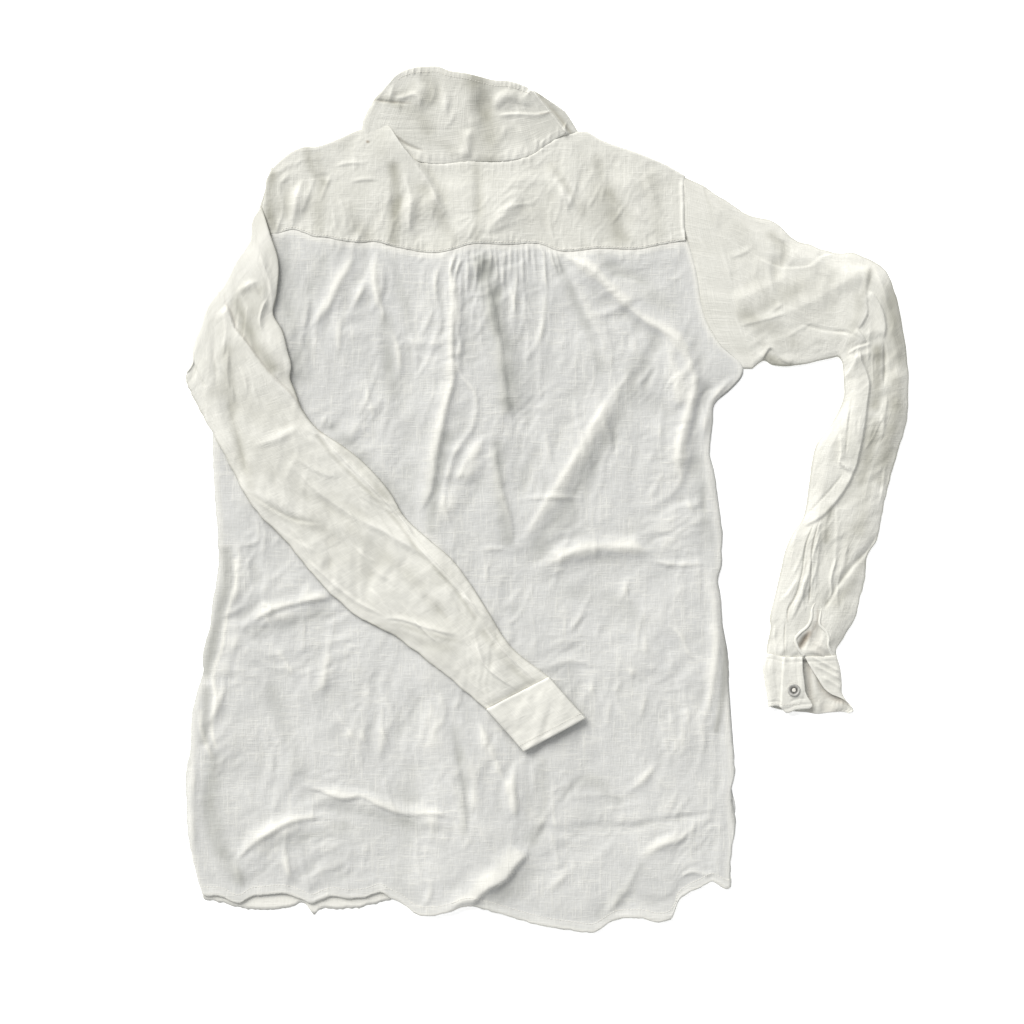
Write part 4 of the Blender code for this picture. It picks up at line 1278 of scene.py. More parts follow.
def woven(tree, places):
    """The small squares of a plain weave."""
    weave_map = add_node(tree, "ShaderNodeMapping")
    set_inputs(weave_map, Scale=(MAP_UNIT / WEAVE_PITCH, MAP_UNIT / WEAVE_PITCH, 1))
    tree.links.new(places, weave_map.inputs["Vector"])
    checks = []
    for direction in ("X", "Y"):
        wave = add_node(tree, "ShaderNodeTexWave", wave_type="BANDS", bands_direction=direction)
        set_inputs(wave, Scale=0.314, Distortion=0.6)
        tree.links.new(weave_map.outputs["Vector"], wave.inputs["Vector"])
        checks.append(wave.outputs["Fac"])
    return math_node(tree, "ADD", *checks)


def linen(name, plain, thread, doubled, shade):
    """Plain-woven linen: threads and slubs both ways, soft crumple, and marks for thick and thin places and
    for painted highlight and shade.
    """
    material, tree, shader = new_material(name)
    places = add_node(tree, "ShaderNodeUVMap", uv_map=CLOTH_MAP).outputs["UV"]
    threads = stretched(tree, math_node(tree, "ADD", *both_ways(tree, places, *THREAD_SIZE)), 0.66, 1.34)
    thick = [stretched(tree, slub, 0.6, 0.76) for slub in both_ways(tree, places, *SLUB_SIZE, 1.0)]
    slubs = math_node(tree, "MAXIMUM", *thick)
    pulled = pulled_threads(tree, places, 3.4, 46), pulled_threads(tree, places, 34, 3.8)
    grain = math_node(tree, "MAXIMUM", *pulled)
    colour = linen_colour(tree, places, threads, slubs, grain, (plain, thread, doubled, shade))
    tree.links.new(colour, shader.inputs["Base Color"])
    coarse = stretched(tree, streaks(tree, places, 5.5, 7, 3.0), 0.25, 0.75)
    normal = bumped(tree, coarse, 0.12, 0.0009)
    normal = bumped(tree, grain, 0.16, 0.0007, normal)
    normal = bumped(tree, math_node(tree, "ADD", threads, slubs), 0.24, 0.0004, normal)
    normal = bumped(tree, woven(tree, places), 0.2, 0.00022, normal)
    tree.links.new(normal, shader.inputs["Normal"])
    set_inputs(shader, Roughness=0.92, Sheen_Weight=0.12, Sheen_Roughness=0.5, Specular_IOR_Level=0.22)
    return material


def twisted_thread(name, colour, dark):
    """Sewing thread."""
    material, tree, shader = new_material(name)
    places = add_node(tree, "ShaderNodeTexCoord").outputs["Object"]
    grain = add_node(tree, "ShaderNodeTexNoise")
    set_inputs(grain, Scale=1400)
    tree.links.new(places, grain.inputs["Vector"])
    tree.links.new(mixed(tree, grain.outputs["Fac"], dark, colour), shader.inputs["Base Color"])
    tree.links.new(bumped(tree, grain.outputs["Fac"], 0.4, 0.0002), shader.inputs["Normal"])
    set_inputs(shader, Roughness=0.7)
    return material


def grey_shell(name):
    """Matt grey shell, clouded, with a darker middle."""
    material, tree, shader = new_material(name)
    places = add_node(tree, "ShaderNodeTexCoord").outputs["Object"]
    clouds = add_node(tree, "ShaderNodeTexNoise")
    set_inputs(clouds, Scale=420, Detail=4)
    tree.links.new(places, clouds.inputs["Vector"])
    length = add_node(tree, "ShaderNodeVectorMath", operation="LENGTH")
    tree.links.new(places, length.inputs[0])
    rim = stretched(tree, length.outputs["Value"], 0.0036, 0.0048)
    clouded = stretched(tree, clouds.outputs["Fac"], 0.3, 0.7)
    dark = mixed(tree, clouded, (0.1, 0.098, 0.092), (0.2, 0.196, 0.185))
    pale = mixed(tree, clouded, (0.38, 0.375, 0.355), (0.52, 0.515, 0.49))
    tree.links.new(mixed(tree, rim, dark, pale), shader.inputs["Base Color"])
    set_inputs(shader, Roughness=0.55, Specular_IOR_Level=0.3)
    return material


def pale_floor(name):
    """A matt white surface, a little brightened, as a lit sweep is."""
    material, tree, shader = new_material(name)
    places = add_node(tree, "ShaderNodeTexCoord").outputs["Object"]
    clouds = add_node(tree, "ShaderNodeTexNoise")
    set_inputs(clouds, Scale=3)
    tree.links.new(places, clouds.inputs["Vector"])
    colour = mixed(tree, clouds.outputs["Fac"], (0.93, 0.93, 0.93), (0.95, 0.95, 0.95))
    tree.links.new(colour, shader.inputs["Base Color"])
    set_inputs(shader, Roughness=0.9, Specular_IOR_Level=0.1)
    set_inputs(shader, Emission_Color=(1, 1, 1, 1), Emission_Strength=0.5)
    return material


SINGLE_COLOUR = (0.675, 0.677, 0.664)
SINGLE_THREAD = (0.59, 0.592, 0.577)
DOUBLED_COLOUR = (0.83, 0.82, 0.765)
SINGLE = linen("linen_single", SINGLE_COLOUR, SINGLE_THREAD, DOUBLED_COLOUR, (0.44, 0.445, 0.415))
DOUBLED = linen(
    "linen_doubled", (0.722, 0.717, 0.668), (0.655, 0.65, 0.6), (0.84, 0.83, 0.775), (0.43, 0.424, 0.366),
)
THREAD = twisted_thread("sewing_thread", (0.88, 0.865, 0.815), (0.74, 0.715, 0.65))
SHELL = grey_shell("button_shell")


# Pieces


def panel(left, right, top, bottom, levels, across, hold):
    """Layout places between four edges. Top and bottom fade into level rows, faster for a larger hold."""
    down = (levels - levels[0]) / (levels[-1] - levels[0])
    level, down = levels[:, None], down[:, None]
    x = blend(left(level), right(level), across)
    y = level + (top(x) - levels[0]) * (1 - down) ** hold + (bottom(x) - levels[-1]) * down**hold
    return x, y


def back_columns():
    """Where the back's grid lines meet its seam, close together in the gathers."""
    start, end = along(BODY_LEFT, SEAM_LEVEL), along(BODY_RIGHT, SHOULDER_LEVEL)
    first, last = GATHER_START - 6, GATHER_END + 6
    gathered = int((last - first) / GATHERED_SPACING)
    return np.concatenate([
        np.linspace(start, first, BACK_SIDE_COLUMNS[0])[:-1],
        np.linspace(first, last, gathered),
        np.linspace(last, end, BACK_SIDE_COLUMNS[1])[1:],
    ])


def back_places():
    """Layout places over the lower back, from under the yoke to the hem."""
    columns = back_columns()
    gathered = (columns - columns[0]) / (columns[-1] - columns[0])
    even = np.linspace(0, 1, len(gathered))
    stops_down = (SEAM_LEVEL, SEAM_LEVEL + 60, HEM_LEVEL - 30, HEM_LEVEL)
    bands = [np.linspace(*band) for band in zip(stops_down, stops_down[1:], BACK_ROWS)]
    levels = np.concatenate([bands[0]] + [band[1:] for band in bands[1:]])
    spread = ease((levels - SEAM_LEVEL - 6) / 120)[:, None]
    tuck = 6
    return panel(
        lambda level: along(BODY_LEFT, level) + 0.7 * line_noise(level, 9, 71),
        lambda level: along(BODY_RIGHT, level) + 0.7 * line_noise(level, 9, 72),
        lambda place: along(YOKE_SEAM, place) - tuck,
        lambda place: along(BACK_HEM, place)
        + 0.9 * line_noise(place, 8, 73)
        + 0.5 * line_noise(place, 3.5, 77),
        levels,
        blend(gathered, even, spread),
        hold=6,
    )


def back_look(x, y, height, below_seam, to_hem, beside):
    """The lower back's colour marks, with painted highlight and painted shade."""
    high, low = high_and_low(height)
    hem = in_hem(to_hem)
    warm = [0.25 * hem, 0.45 * (1 - ease((beside - 3) / 6)), 0.9 * (1 - ease((to_hem - 1.5) / 2.5))]
    warm += [near_line(x, y, line, 3.2) for line in SEAM_LINES]
    # Doubled cloth by the seam, and painted highlight on raised places
    warm += [0.55 * ease((7 - below_seam) / 3), 0.75 * high]
    thin = np.maximum.reduce([near_line(x, y, line, width) for width, line in THIN_LINES])
    # Painted shade in hollows and along the shade lines, and one-layer cloth along the thin lines
    grey = np.maximum(HOLLOW_PAINTED_SHADE * low + 1.15 * shaded(x, y, BACK_SHADES), 0.75 * thin)
    # Random tone, and painted shade along the sides' outline
    grey += 0.16 * noise(x, y, 55, 302) + 0.1 * noise(x, y, 24, 303) + 0.4 * (1 - ease(beside / 2.6))
    seam_line = np.exp(-((below_seam - 0.3) / 0.8) ** 2)
    return marked(np.maximum.reduce(warm), grey, 0.12 * seam_line + 0.03 * thin)


def in_hem(to_hem):
    """1 where the hem is folded double and 0 above it."""
    return ease((9.5 - to_hem) / 1.4)


def make_back():
    """The lower back, tucked under the yoke, with a doubled hem and rolled sides."""
    x, y = back_places()
    below_seam = y - along(YOKE_SEAM, x)
    to_hem = along(BACK_HEM, x) - y
    beside = sides_distance(x, y)
    height = back_height(x, y)
    height -= 1.3 * (1 - ease((below_seam + 2.0) / 2.6))
    height += 0.35 * in_hem(to_hem)
    height -= 1.2 * (1 - rolled(beside, 3.2)) + 0.5 * (1 - rolled(to_hem, 1.5))
    height += 0.9 * (1 - ease(np.abs(to_hem - 2.6) / 2.2)) * ease(0.5 + 1.2 * noise(x, y, 26, 310))
    look = back_look(x, y, height, below_seam, to_hem, beside)
    outer = np.dstack([x, y, height])
    piece = thin_shell("back_panel", outer, WALL, np.dstack([x, y]), look, SINGLE)
    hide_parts("back")
    return piece, outer


def make_yoke():
    """The back yoke, doubled, between the shoulders, the collar's foot and the gathered seam."""
    rows, across = YOKE_GRID
    columns = np.linspace(along(BODY_LEFT, SEAM_LEVEL), along(BODY_RIGHT, SHOULDER_LEVEL), across)
    bottom = along(YOKE_SEAM, columns) + 0.5 * line_noise(columns, 6, 74)
    shoulder = along(BODY_LEFT, SHOULDER_LEVEL)
    at_top = columns + (shoulder - columns[0]) * (1 - ease((columns - columns[0]) / 60))
    down = np.linspace(0, 1, rows)[:, None]
    x = blend(at_top, columns, down)
    y = blend(along(YOKE_TOP, at_top) + 0.2, bottom, down)
    straight = blend(shoulder, columns[0], down)
    x = x + (along(BODY_LEFT, y) - straight) * (1 - ease((columns - columns[0]) / 34)) * ease(down * 6)
    height = yoke_height(x, y)
    from_seam = along(YOKE_SEAM, x) - y
    from_top = y - along(YOKE_TOP, x)
    sides = sides_distance(x, y)
    height -= 0.45 * (1 - rolled(from_seam, 1.6))
    height -= blend(1.0, 0.5, by_neck(x)) * (1 - rolled(np.minimum(from_top, sides), 2.8))
    high, low = high_and_low(height)
    by_edge = 0.5 * ease((4 - np.minimum(from_seam, from_top)) / 3)
    # Doubled edges and the armhole seam, and painted highlight on raised places
    warm = np.maximum.reduce([by_edge, 0.7 * high, near_line(x, y, SEAM_LINES[-1], 4.5)])
    # Painted shade in hollows and along the shade lines, with random patches
    grey = HOLLOW_PAINTED_SHADE * low + 1.2 * shaded(x, y, YOKE_SHADES) + clouds(x, y, 311)
    # Painted shade along the top edge of the left shoulder
    grey += 0.4 * (1 - ease(from_top / 2.4)) * (1 - ease(x / 10 - 39))
    look = marked(warm, grey, near_line(x, y, YOKE_SPECK, 2.0))
    outer = np.dstack([x, y, height])
    piece = thin_shell("yoke_panel", outer, DOUBLED_WALL, np.dstack([x, y]), look, DOUBLED)
    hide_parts("yoke")
    return piece, outer


def front_top(x):
    """The fronts' upper edge: the shoulders, and the neckline that drops to the middle."""
    left, right = NECK_SEAM[0][0], NECK_SEAM[-1][0]
    across = np.clip((2 * x - left - right) / (right - left), -1, 1)
    neckline = along(NECK_SEAM, x) + NECK_DROP * (1 - across**2) + 3
    shoulder = along(YOKE_TOP, x) + GAP
    return np.where((x > left) & (x < right), neckline, shoulder)


def make_front(name, node, left, right, lift, seed):
    """One front, flat on the surface but for its button edge."""
    levels = np.linspace(SHOULDER_LEVEL, HEM_LEVEL, FRONT_GRID[0])
    across = np.linspace(0, 1, FRONT_GRID[1])
    x, y = panel(left, right, front_top, lambda place: along(FRONT_HEM, place), levels, across, hold=3)
    ragged = line_noise(x, 6, seed) + 1.1 * line_noise(x, 3.6, seed + 5)
    y += np.where(y > HEM_LEVEL - 20, ragged, 0)
    to_hem = along(FRONT_HEM, x) - y
    height = WALL + lift(from_placket(x, y))
    height += 0.25 * (1 + noise(x, y, 30, seed)) * ease((to_hem - 12) / 8) * 0.3
    look = marked(0.9 * ease((16 - to_hem) / 4))
    outer = np.dstack([x, y, height])
    piece = thin_shell(name, outer, WALL * 0.95, np.dstack([x, y]), look, SINGLE, step=6)
    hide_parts(node)
    return piece


def make_fronts():
    """The right front lies under the left one at the placket, and the buttons lie under both."""
    right = make_front(
        "right_front_panel", "front_right",
        lambda level: along(PLACKET_MIDDLE, level) - PLACKET_HALF_WIDTH,
        lambda level: along(BODY_RIGHT, level) - 0.6,
        lambda beyond: (BUTTON_HEIGHT + GAP)
        * (1 - ease((beyond - PLACKET_HALF_WIDTH) / (PLACKET_SLOPE - 12))),
        81,
    )
    left = make_front(
        "left_front_panel", "front_left",
        lambda level: along(BODY_LEFT, level) + 0.6,
        lambda level: along(PLACKET_MIDDLE, level) + PLACKET_HALF_WIDTH,
        lambda beyond: OVER_PLACKET * (1 - ease((-beyond - PLACKET_HALF_WIDTH - 3) / (PLACKET_SLOPE - 8))),
        82,
    )
    return right, left


def round_edge(across, width, roll):
    """How far the half of a pressed tube stands from its middle, from 0 at its edges to 1."""
    distance = (1 - np.abs(across)) * width / 2
    return rolled(distance, roll) * (0.9 + 0.1 * np.sqrt(np.maximum(0, 1 - across**2)))


def thinned(across, least):
    """How thick a pressed tube is across it: 1 over most of its width, and least at both edges."""
    return blend(least, 1, ease((1 - np.abs(across)) / 0.4))[None, :]


def rim(across, widths):
    """1 on the outline of a pressed tube and 0 a little inside it."""
    inset = (1 - np.abs(across))[None, :] * widths[:, None] / 2
    return 1 - ease(inset / 2.6)


def clouds(x, y, seed):
    """Grey patches of thin and thick cloth, from 0 to about 0.3."""
    return 0.24 * np.maximum(noise(x, y, 46, seed) + 0.2, 0) + 0.14 * noise(x, y, 21, seed + 1)


def edge_spaced(count):
    """Places from -1 to 1, closer together near both ends."""
    even = np.linspace(-1, 1, count)
    return 0.68 * even + 0.32 * np.sin(even * math.pi / 2)


def resampled(sections, spacing):
    """Rows of a sleeve's table, smoothly filled in."""
    rows = np.array(sections, float)
    outer_steps = np.hypot(*np.diff(rows[:, 0:2], axis=0).T)
    inner_steps = np.hypot(*np.diff(rows[:, 2:4], axis=0).T)
    steps = np.maximum(outer_steps, inner_steps)
    places = np.concatenate([(0,), np.cumsum(steps)])
    at = np.linspace(0, places[-1], int(places[-1] / spacing))
    filled = [along(list(zip(places, rows[:, column])), at) for column in range(rows.shape[1])]
    return np.stack(filled, axis=-1), at


def sleeve_side(rows, across, seed):
    """Layout x and y over a sleeve, whose edges wave a little."""
    part = (1 + across) / 2
    wave = 0.8 * line_noise(np.arange(len(rows)) * 1.9, 10, seed)
    lengths = np.hypot(rows[:, 0] - rows[:, 2], rows[:, 1] - rows[:, 3])
    way_x, way_y = (rows[:, 0] - rows[:, 2]) / lengths, (rows[:, 1] - rows[:, 3]) / lengths
    outer_x, outer_y = rows[:, 0] + wave * way_x, rows[:, 1] + wave * way_y
    x = blend(rows[:, 2][:, None], outer_x[:, None], part)
    y = blend(rows[:, 3][:, None], outer_y[:, None], part)
    return x, y, lengths


def inner_share(widths, wall):
    """How wide a pressed tube is inside, as a share of each row's width."""
    return (1 - 2.4 * wall / widths)[:, None, None]


def inside_tube(upper, lower, widths, wall):
    """The inner sides of a pressed tube, a wall in from its outer sides."""
    middle = (upper[:, :1] + upper[:, -1:]) / 2
    shrink = inner_share(widths, wall)
    core = (upper[..., 2] + lower[..., 2]) / 2
    roof, ground = upper.copy(), lower.copy()
    for grid in (roof, ground):
        grid[..., :2] = middle[..., :2] + (grid[..., :2] - middle[..., :2]) * shrink
    least = 0.05
    roof[..., 2] = np.maximum(lowest_near(upper[..., 2], INNER_STEP) - wall, core + least)
    ground[..., 2] = np.minimum(-lowest_near(-lower[..., 2], INNER_STEP) + wall, core - least)
    for column in (0, -1):
        roof[:, column, 2] = core[:, column]
        ground[:, column] = roof[:, column]
    return roof, ground


def sleeve_look(upper, across, widths, down, start, x, y, shades_given, edge, rim_painted_shade, seed):
    """A sleeve's cloth places and its warm and grey marks, with painted highlight and painted shade. Its
    first rows lie hidden in the armhole.
    """
    hidden = len(upper) - len(x)
    cloth_down = np.concatenate([np.linspace(start, -2, hidden), down])
    cloth_across = across[None, :] * widths[:, None] / 2
    cloth_places = np.dstack([cloth_across, np.repeat(cloth_down[:, None], len(across), axis=1)])
    high, low = high_and_low(upper[..., 2])
    base, more = edge
    # Doubled edges, and painted highlight on raised places
    warm = base + more * (1 - ease((np.abs(cloth_across) - widths[:, None] / 2 + 12) / -6)) + 0.5 * high
    # Painted shade in hollows, with random patches
    grey = HOLLOW_PAINTED_SHADE * low + clouds(cloth_across, cloth_places[..., 1], seed)
    # Painted shade along the outline
    grey += rim_painted_shade * rim(across, widths)
    # Painted shade along the given lines
    grey[hidden:] += shaded(x, y, shades_given)
    return cloth_places, warm, grey


def sleeve_sides(x, y, puff, down, side, relief, rest, under):
    """A sleeve's upper and lower sides on what it rests on, pressed thinner towards its cuff."""
    puff = puff * blend(0.72, 1, ease((down[-1] - down) / 10))[:, None]
    lower = rest + puff * (1 - side) / 2 * under
    upper = np.maximum(rest + puff * (1 + side) / 2 + relief, lower + 2.3 * side)
    return np.dstack([x, y, upper]), np.dstack([x, y, lower])


def left_sleeve_start(across, way_start, way_end, outward, fold_wave):
    """Rows of the left sleeve's hidden start and of its turn over the fold, on its two sides."""
    length = np.hypot(*(way_end - way_start))
    growth = blend(0.4, 1, ease((1 + across) / 0.7))
    size = (FOLD_RADIUS + FOLDED_PUFF / 2) * growth
    thick = round_edge(across, length, 4.0)
    middle = blend(way_start, way_end, ((1 + across) / 2)[:, None]) + outward * (fold_wave - size)[:, None]
    starts = []
    for half in (1, -1):
        turned = []
        for turn in np.linspace(0, math.pi, 14)[:-1]:
            reach = (FOLD_RADIUS + FOLDED_PUFF / 2 * half * thick) * growth
            place = middle + outward * (reach * math.sin(turn))[:, None]
            turned.append(np.column_stack([place, size - reach * math.cos(turn)]))
        level = blend(*LEFT_ARMHOLE, (1 + across) / 2)
        edge_x = along(BODY_LEFT, level) + 1.4
        armhole = np.column_stack([edge_x, level, 2.0 * (1 - half * thick) / 2])
        hidden = [blend(armhole, turned[0], part) for part in np.linspace(0, 1, 9)[:-1]]
        starts.append(np.array(hidden + turned))
    return starts


def right_sleeve_start(across, upper, lower):
    """Rows that lead from the armhole's edge to the right sleeve's first row, on its two sides."""
    level = blend(*RIGHT_ARMHOLE, (1 + across) / 2)
    edge_x = along(BODY_RIGHT, level) - 1.6
    starts = []
    for half, grid in ((1, upper), (-1, lower)):
        puffed = 1 + half * round_edge(across, RIGHT_ARMHOLE[0] - RIGHT_ARMHOLE[1], 4.0)
        armhole = np.column_stack([edge_x, level, 2.9 * puffed / 2])
        hidden = []
        for part in np.linspace(0, 1, 13)[:-1]:
            ring = blend(armhole, grid[0], part)
            ring[:, 2] = blend(armhole[:, 2], grid[0, :, 2], part**0.4)
            hidden.append(ring)
        starts.append(np.array(hidden))
    return starts


def make_left_sleeve():
    """The left sleeve: it leaves the armhole on the surface, turns over a fold and lies across the back."""
    across = edge_spaced(LEFT_SLEEVE_COLUMNS)
    rows, down = resampled(LEFT_SLEEVE, SLEEVE_SPACING)
    x, y, widths = sleeve_side(rows, across, 75)
    way_start, way_end = np.array(LEFT_FOLD[0], float), np.array(LEFT_FOLD[1], float)
    length = np.hypot(*(way_end - way_start))
    way = (way_end - way_start) / length
    outward = np.array((-way[1], way[0]))
    fold_wave = along(FOLD_WAVE, (1 + across) / 2 * length)
    fading = (1 - ease(down / 110))[:, None]
    x += outward[0] * fold_wave * fading
    y += outward[1] * fold_wave * fading
    side = round_edge(across[None, :], widths[:, None], 5.2)
    puff = SLEEVE_PRESS * rows[:, 4][:, None] * thinned(across, 0.5)
    relief = GAIN * creased(x, y, LEFT_SLEEVE_CREASES) + BROAD_GAIN * creased(x, y, LEFT_SLEEVE_FOLDS)
    relief += 0.5 * crumpled(x, y, 600, 48) + creased(x, y, LEFT_SLEEVE_FINE)
    relief *= side**1.5 * ease((down - 2) / 14)[:, None]
    upper, lower = sleeve_sides(x, y, puff, down, side, relief, over_body(x, y), 1)
    starts = left_sleeve_start(across, way_start, way_end, outward, fold_wave)
    upper, lower = np.concatenate([starts[0], upper]), np.concatenate([starts[1], lower])
    count = len(starts[0])
    all_widths = np.concatenate([np.full(count, length), widths])
    roof, ground = inside_sleeve_start(upper, lower, all_widths, count)
    cloth_places, warm, grey = sleeve_look(
        upper, across, all_widths, down, -60, x, y, LEFT_SLEEVE_SHADES, (0.2, 0.35), 0.4, 305,
    )
    step_line = smooth_line(LEFT_SLEEVE_CREASES[0].line, 5)[0]
    distance, hand, _ = from_line(upper[..., 0], upper[..., 1], step_line)
    warm += 0.5 * (hand < 0) * (1 - ease(distance / 34)) * (np.arange(len(upper)) > count)[:, None]
    # Brown: painted shadow in a thin line under the fold's edge
    look = marked(warm, grey, 0.16 * np.exp(-((distance - 1.2) / 1.4) ** 2) * (hand < 0))
    piece = thin_tube("left_sleeve_tube", upper, lower, roof, ground, cloth_places, look)
    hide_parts("sleeve_left")
    return piece


def inside_sleeve_start(upper, lower, widths, count):
    """The left sleeve's inner sides. Where it turns, they lie midway between its outer sides."""
    roof, ground = inside_tube(upper, lower, widths, WALL)
    core = (upper[:count] + lower[:count]) / 2
    inset = WALL / FOLDED_PUFF
    centre = (core[:, :1] + core[:, -1:]) / 2
    shrink = inner_share(widths[:count], WALL)
    roof[:count] = upper[:count] + (core - upper[:count]) * 2 * inset
    ground[:count] = lower[:count] + (core - lower[:count]) * 2 * inset
    for grid in (roof, ground):
        grid[:count] = centre + (grid[:count] - centre) * shrink
    for column in (0, -1):
        ground[:count, column] = roof[:count, column]
    return roof, ground


def make_right_sleeve():
    """The right sleeve, on the surface, bent at the elbow."""
    across = edge_spaced(RIGHT_SLEEVE_COLUMNS)
    rows, down = resampled(RIGHT_SLEEVE, SLEEVE_SPACING)
    x, y, widths = sleeve_side(rows, across, 76)
    side = round_edge(across[None, :], widths[:, None], 6.0)
    puff = SLEEVE_PRESS * rows[:, 4][:, None] * thinned(across, 0.62)
    relief = GAIN * creased(x, y, RIGHT_SLEEVE_CREASES) + BROAD_GAIN * creased(x, y, RIGHT_SLEEVE_FOLDS)
    upper_arm, lower_arm = crumpled(x, y, 700, 24), crumpled(x, y, 750, 105)
    relief += 0.75 * blend(upper_arm, lower_arm, ease((y - 300) / 60))
    relief += creased(x, y, VENT_HOLLOW) + creased(x, y, RIGHT_SLEEVE_FINE)
    relief *= side**1.5 * ease((down + 4) / 10)[:, None]
    upper, lower = sleeve_sides(x, y, puff, down, side, relief, 0, 0.9)
    starts = right_sleeve_start(across, upper, lower)
    upper, lower = np.concatenate([starts[0], upper]), np.concatenate([starts[1], lower])
    count = len(starts[0])
    all_widths = np.concatenate([np.full(count, widths[0]), widths])
    roof, ground = inside_tube(upper, lower, all_widths, WALL)
    cloth_places, warm, grey = sleeve_look(
        upper, across, all_widths, down, -18, x, y, RIGHT_SLEEVE_SHADES, (0.1, 0.4), 0.5, 308,
    )
    brown = np.zeros(warm.shape)
    brown[count:] = shaded(x, y, VENT_SHADOWS)
    look = marked(warm, grey, brown)
    piece = thin_tube("right_sleeve_tube", upper, lower, roof, ground, cloth_places, look)
    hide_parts("sleeve_right")
    return piece, upper


def collar_line(table, across):
    """Places on a collar line, from -1 at its left fold to 1 at its right fold."""
    start, end = table[0][0], table[-1][0]
    x = blend(start, end, (across + 1) / 2)
    return np.stack([x, along(table, x)], axis=-1)


def collar_grid(rows, columns, wall):
    """The outer or, with a wall, the inner side of the collar round the neck, pressed flat."""
    even = np.linspace(-1, 1, columns)
    turn = (even * COLLAR_END + 0.07 * np.sin(even * 2 * math.pi)) * math.pi
    across = np.sin(turn)
    under = np.cos(turn) < 0
    part = np.linspace(0, 1, rows)[:, None]
    foot = collar_line(tuple((x, y + 1.2) for x, y in NECK_SEAM), across)
    fold = collar_line(STAND_TOP, across)
    edge = collar_line(LEAF_EDGE, across)
    in_stand, in_leaf = part / STAND_SHARE, (part - STAND_SHARE) / (1 - STAND_SHARE)
    stand_places = blend(foot, fold, in_stand[..., None])
    leaf_places = blend(fold, edge, np.maximum(in_leaf, 0)[..., None])
    places = np.where(in_leaf[..., None] < 0, stand_places, leaf_places)
    bulge = 3.6 * np.sin(np.clip(in_leaf, 0, 1) * math.pi) + 1.5 * np.sin(np.clip(in_stand, 0, 1) * math.pi)
    roll = 4.5
    side = np.sign(np.cos(turn)) * rolled((1 - np.abs(across)) * COLLAR_HALF_WIDTH, roll)
    drop = np.where(under, NECK_DROP * (1 - across**2), 0)
    thickness = np.where(
        part < STAND_SHARE,
        blend(SEAM_HEIGHT, STAND_HEIGHT, in_stand),
        blend(STAND_HEIGHT, LEAF_HEIGHT, in_leaf),
    )
    half = np.maximum(thickness / 2 - wall, 0.3)
    height = thickness / 2 + half * side
    x = places[..., 0] - np.sign(across) * wall * np.abs(across) ** 6 * 1.2
    x = x + bulge * np.where(across < 0, -np.abs(across) ** 5, 0.25 * across**5)
    return x, places[..., 1] + drop, height, side, np.broadcast_to(turn, height.shape)


# Where the collar's edge ripples: from, to and how far apart
RIPPLE_REACHES = ((446, 484, 4.4), (492, 530, 4.6), (408, 440, 6.5))


def edge_ripples():
    """Short ripples that the topstitching draws along the collar's free edge."""
    draw = np.random.default_rng(8)
    made = []
    for x in np.concatenate([np.arange(*reach) for reach in RIPPLE_REACHES]):
        top = along(LEAF_EDGE, x)
        foot = top + draw.uniform(7, 13)
        line = ((x, top - 3), (x + draw.uniform(-1, 1), top + 4), (x + draw.uniform(-2, 2), foot))
        made.append(Crease(draw.uniform(0.5, 1.1), 2.1, 2.1, line))
    return made


def make_collar():
    """The collar: the stand round the neck and the leaf above it, turned up."""
    rows, columns = COLLAR_GRID
    x, y, height, side, turn = collar_grid(rows, columns, 0)
    part = np.linspace(0, 1, rows)[:, None]
    sharp = COLLAR_CREASES + tuple(STAND_PUCKERS) + tuple(edge_ripples())
    relief = GAIN * creased(x, y, sharp) + creased(x, y, COLLAR_FOLDS) + 0.4 * crumpled(x, y, 900, 80)
    relief += creased(x, y, COLLAR_FINE)
    top_side = np.maximum(side, 0)
    height = height + relief * top_side**1.5
    edges = np.minimum(part * 28, (1 - part) * 60) + 0 * x
    height -= 0.6 * (1 - rolled(edges, 3.2)) * top_side
    inner = collar_grid(rows, columns, DOUBLED_WALL)
    inner_height = below_top(inner[2], side, height)
    outer_grid = np.dstack([x, y, height])
    inner_grid = np.dstack([inner[0], inner[1], inner_height])
    cloth_places = np.dstack([turn * COLLAR_CLOTH_ROUND, part * COLLAR_CLOTH_DEPTH + 0 * x])
    high, low = high_and_low(height)
    on_top = side > 0
    # Doubled edges and the piping, and painted highlight on raised places
    warm = [0.5 * (1 - ease(edges / 6)), 0.7 * high, near_line(x, y, PIPING, 2.6) * on_top]
    # Painted shade in hollows and along the shade lines, with random patches
    grey = FIRM_HOLLOW_PAINTED_SHADE * low + (clouds(x, y, 313) + shaded(x, y, COLLAR_SHADES)) * on_top
    # Painted shade along the outline at the folded ends and at the free edge
    grey += 0.4 * (1 - ease(np.abs(side) * 1.2)) + 0.25 * (1 - ease((1 - part) * 30))
    # Brown: painted shadow in the creases
    look = marked(np.maximum.reduce(warm), grey, shaded(x, y, COLLAR_CREASE_SHADOWS) * on_top)
    piece = thin_shell(
        "collar_band", outer_grid, DOUBLED_WALL, cloth_places, look, DOUBLED,
        inner=inner_grid,
    )
    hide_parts("collar_stand", "collar_leaf")
    return piece, outer_grid


TUCK_FADE = 7


def tucks(at, down, rows):
    """Small folds that run down from a cuff's seam. Each row gives place, height and width."""
    return sum(
        tall * np.exp(-((at - place) / reach) ** 2) * np.exp(-down * TUCK_FADE)
        for place, tall, reach in rows
    )


def cuff_warmth(edges):
    """How warm a cuff looks at each distance from its seam or hem."""
    return 0.35 + 0.3 * (1 - ease(edges / 6))


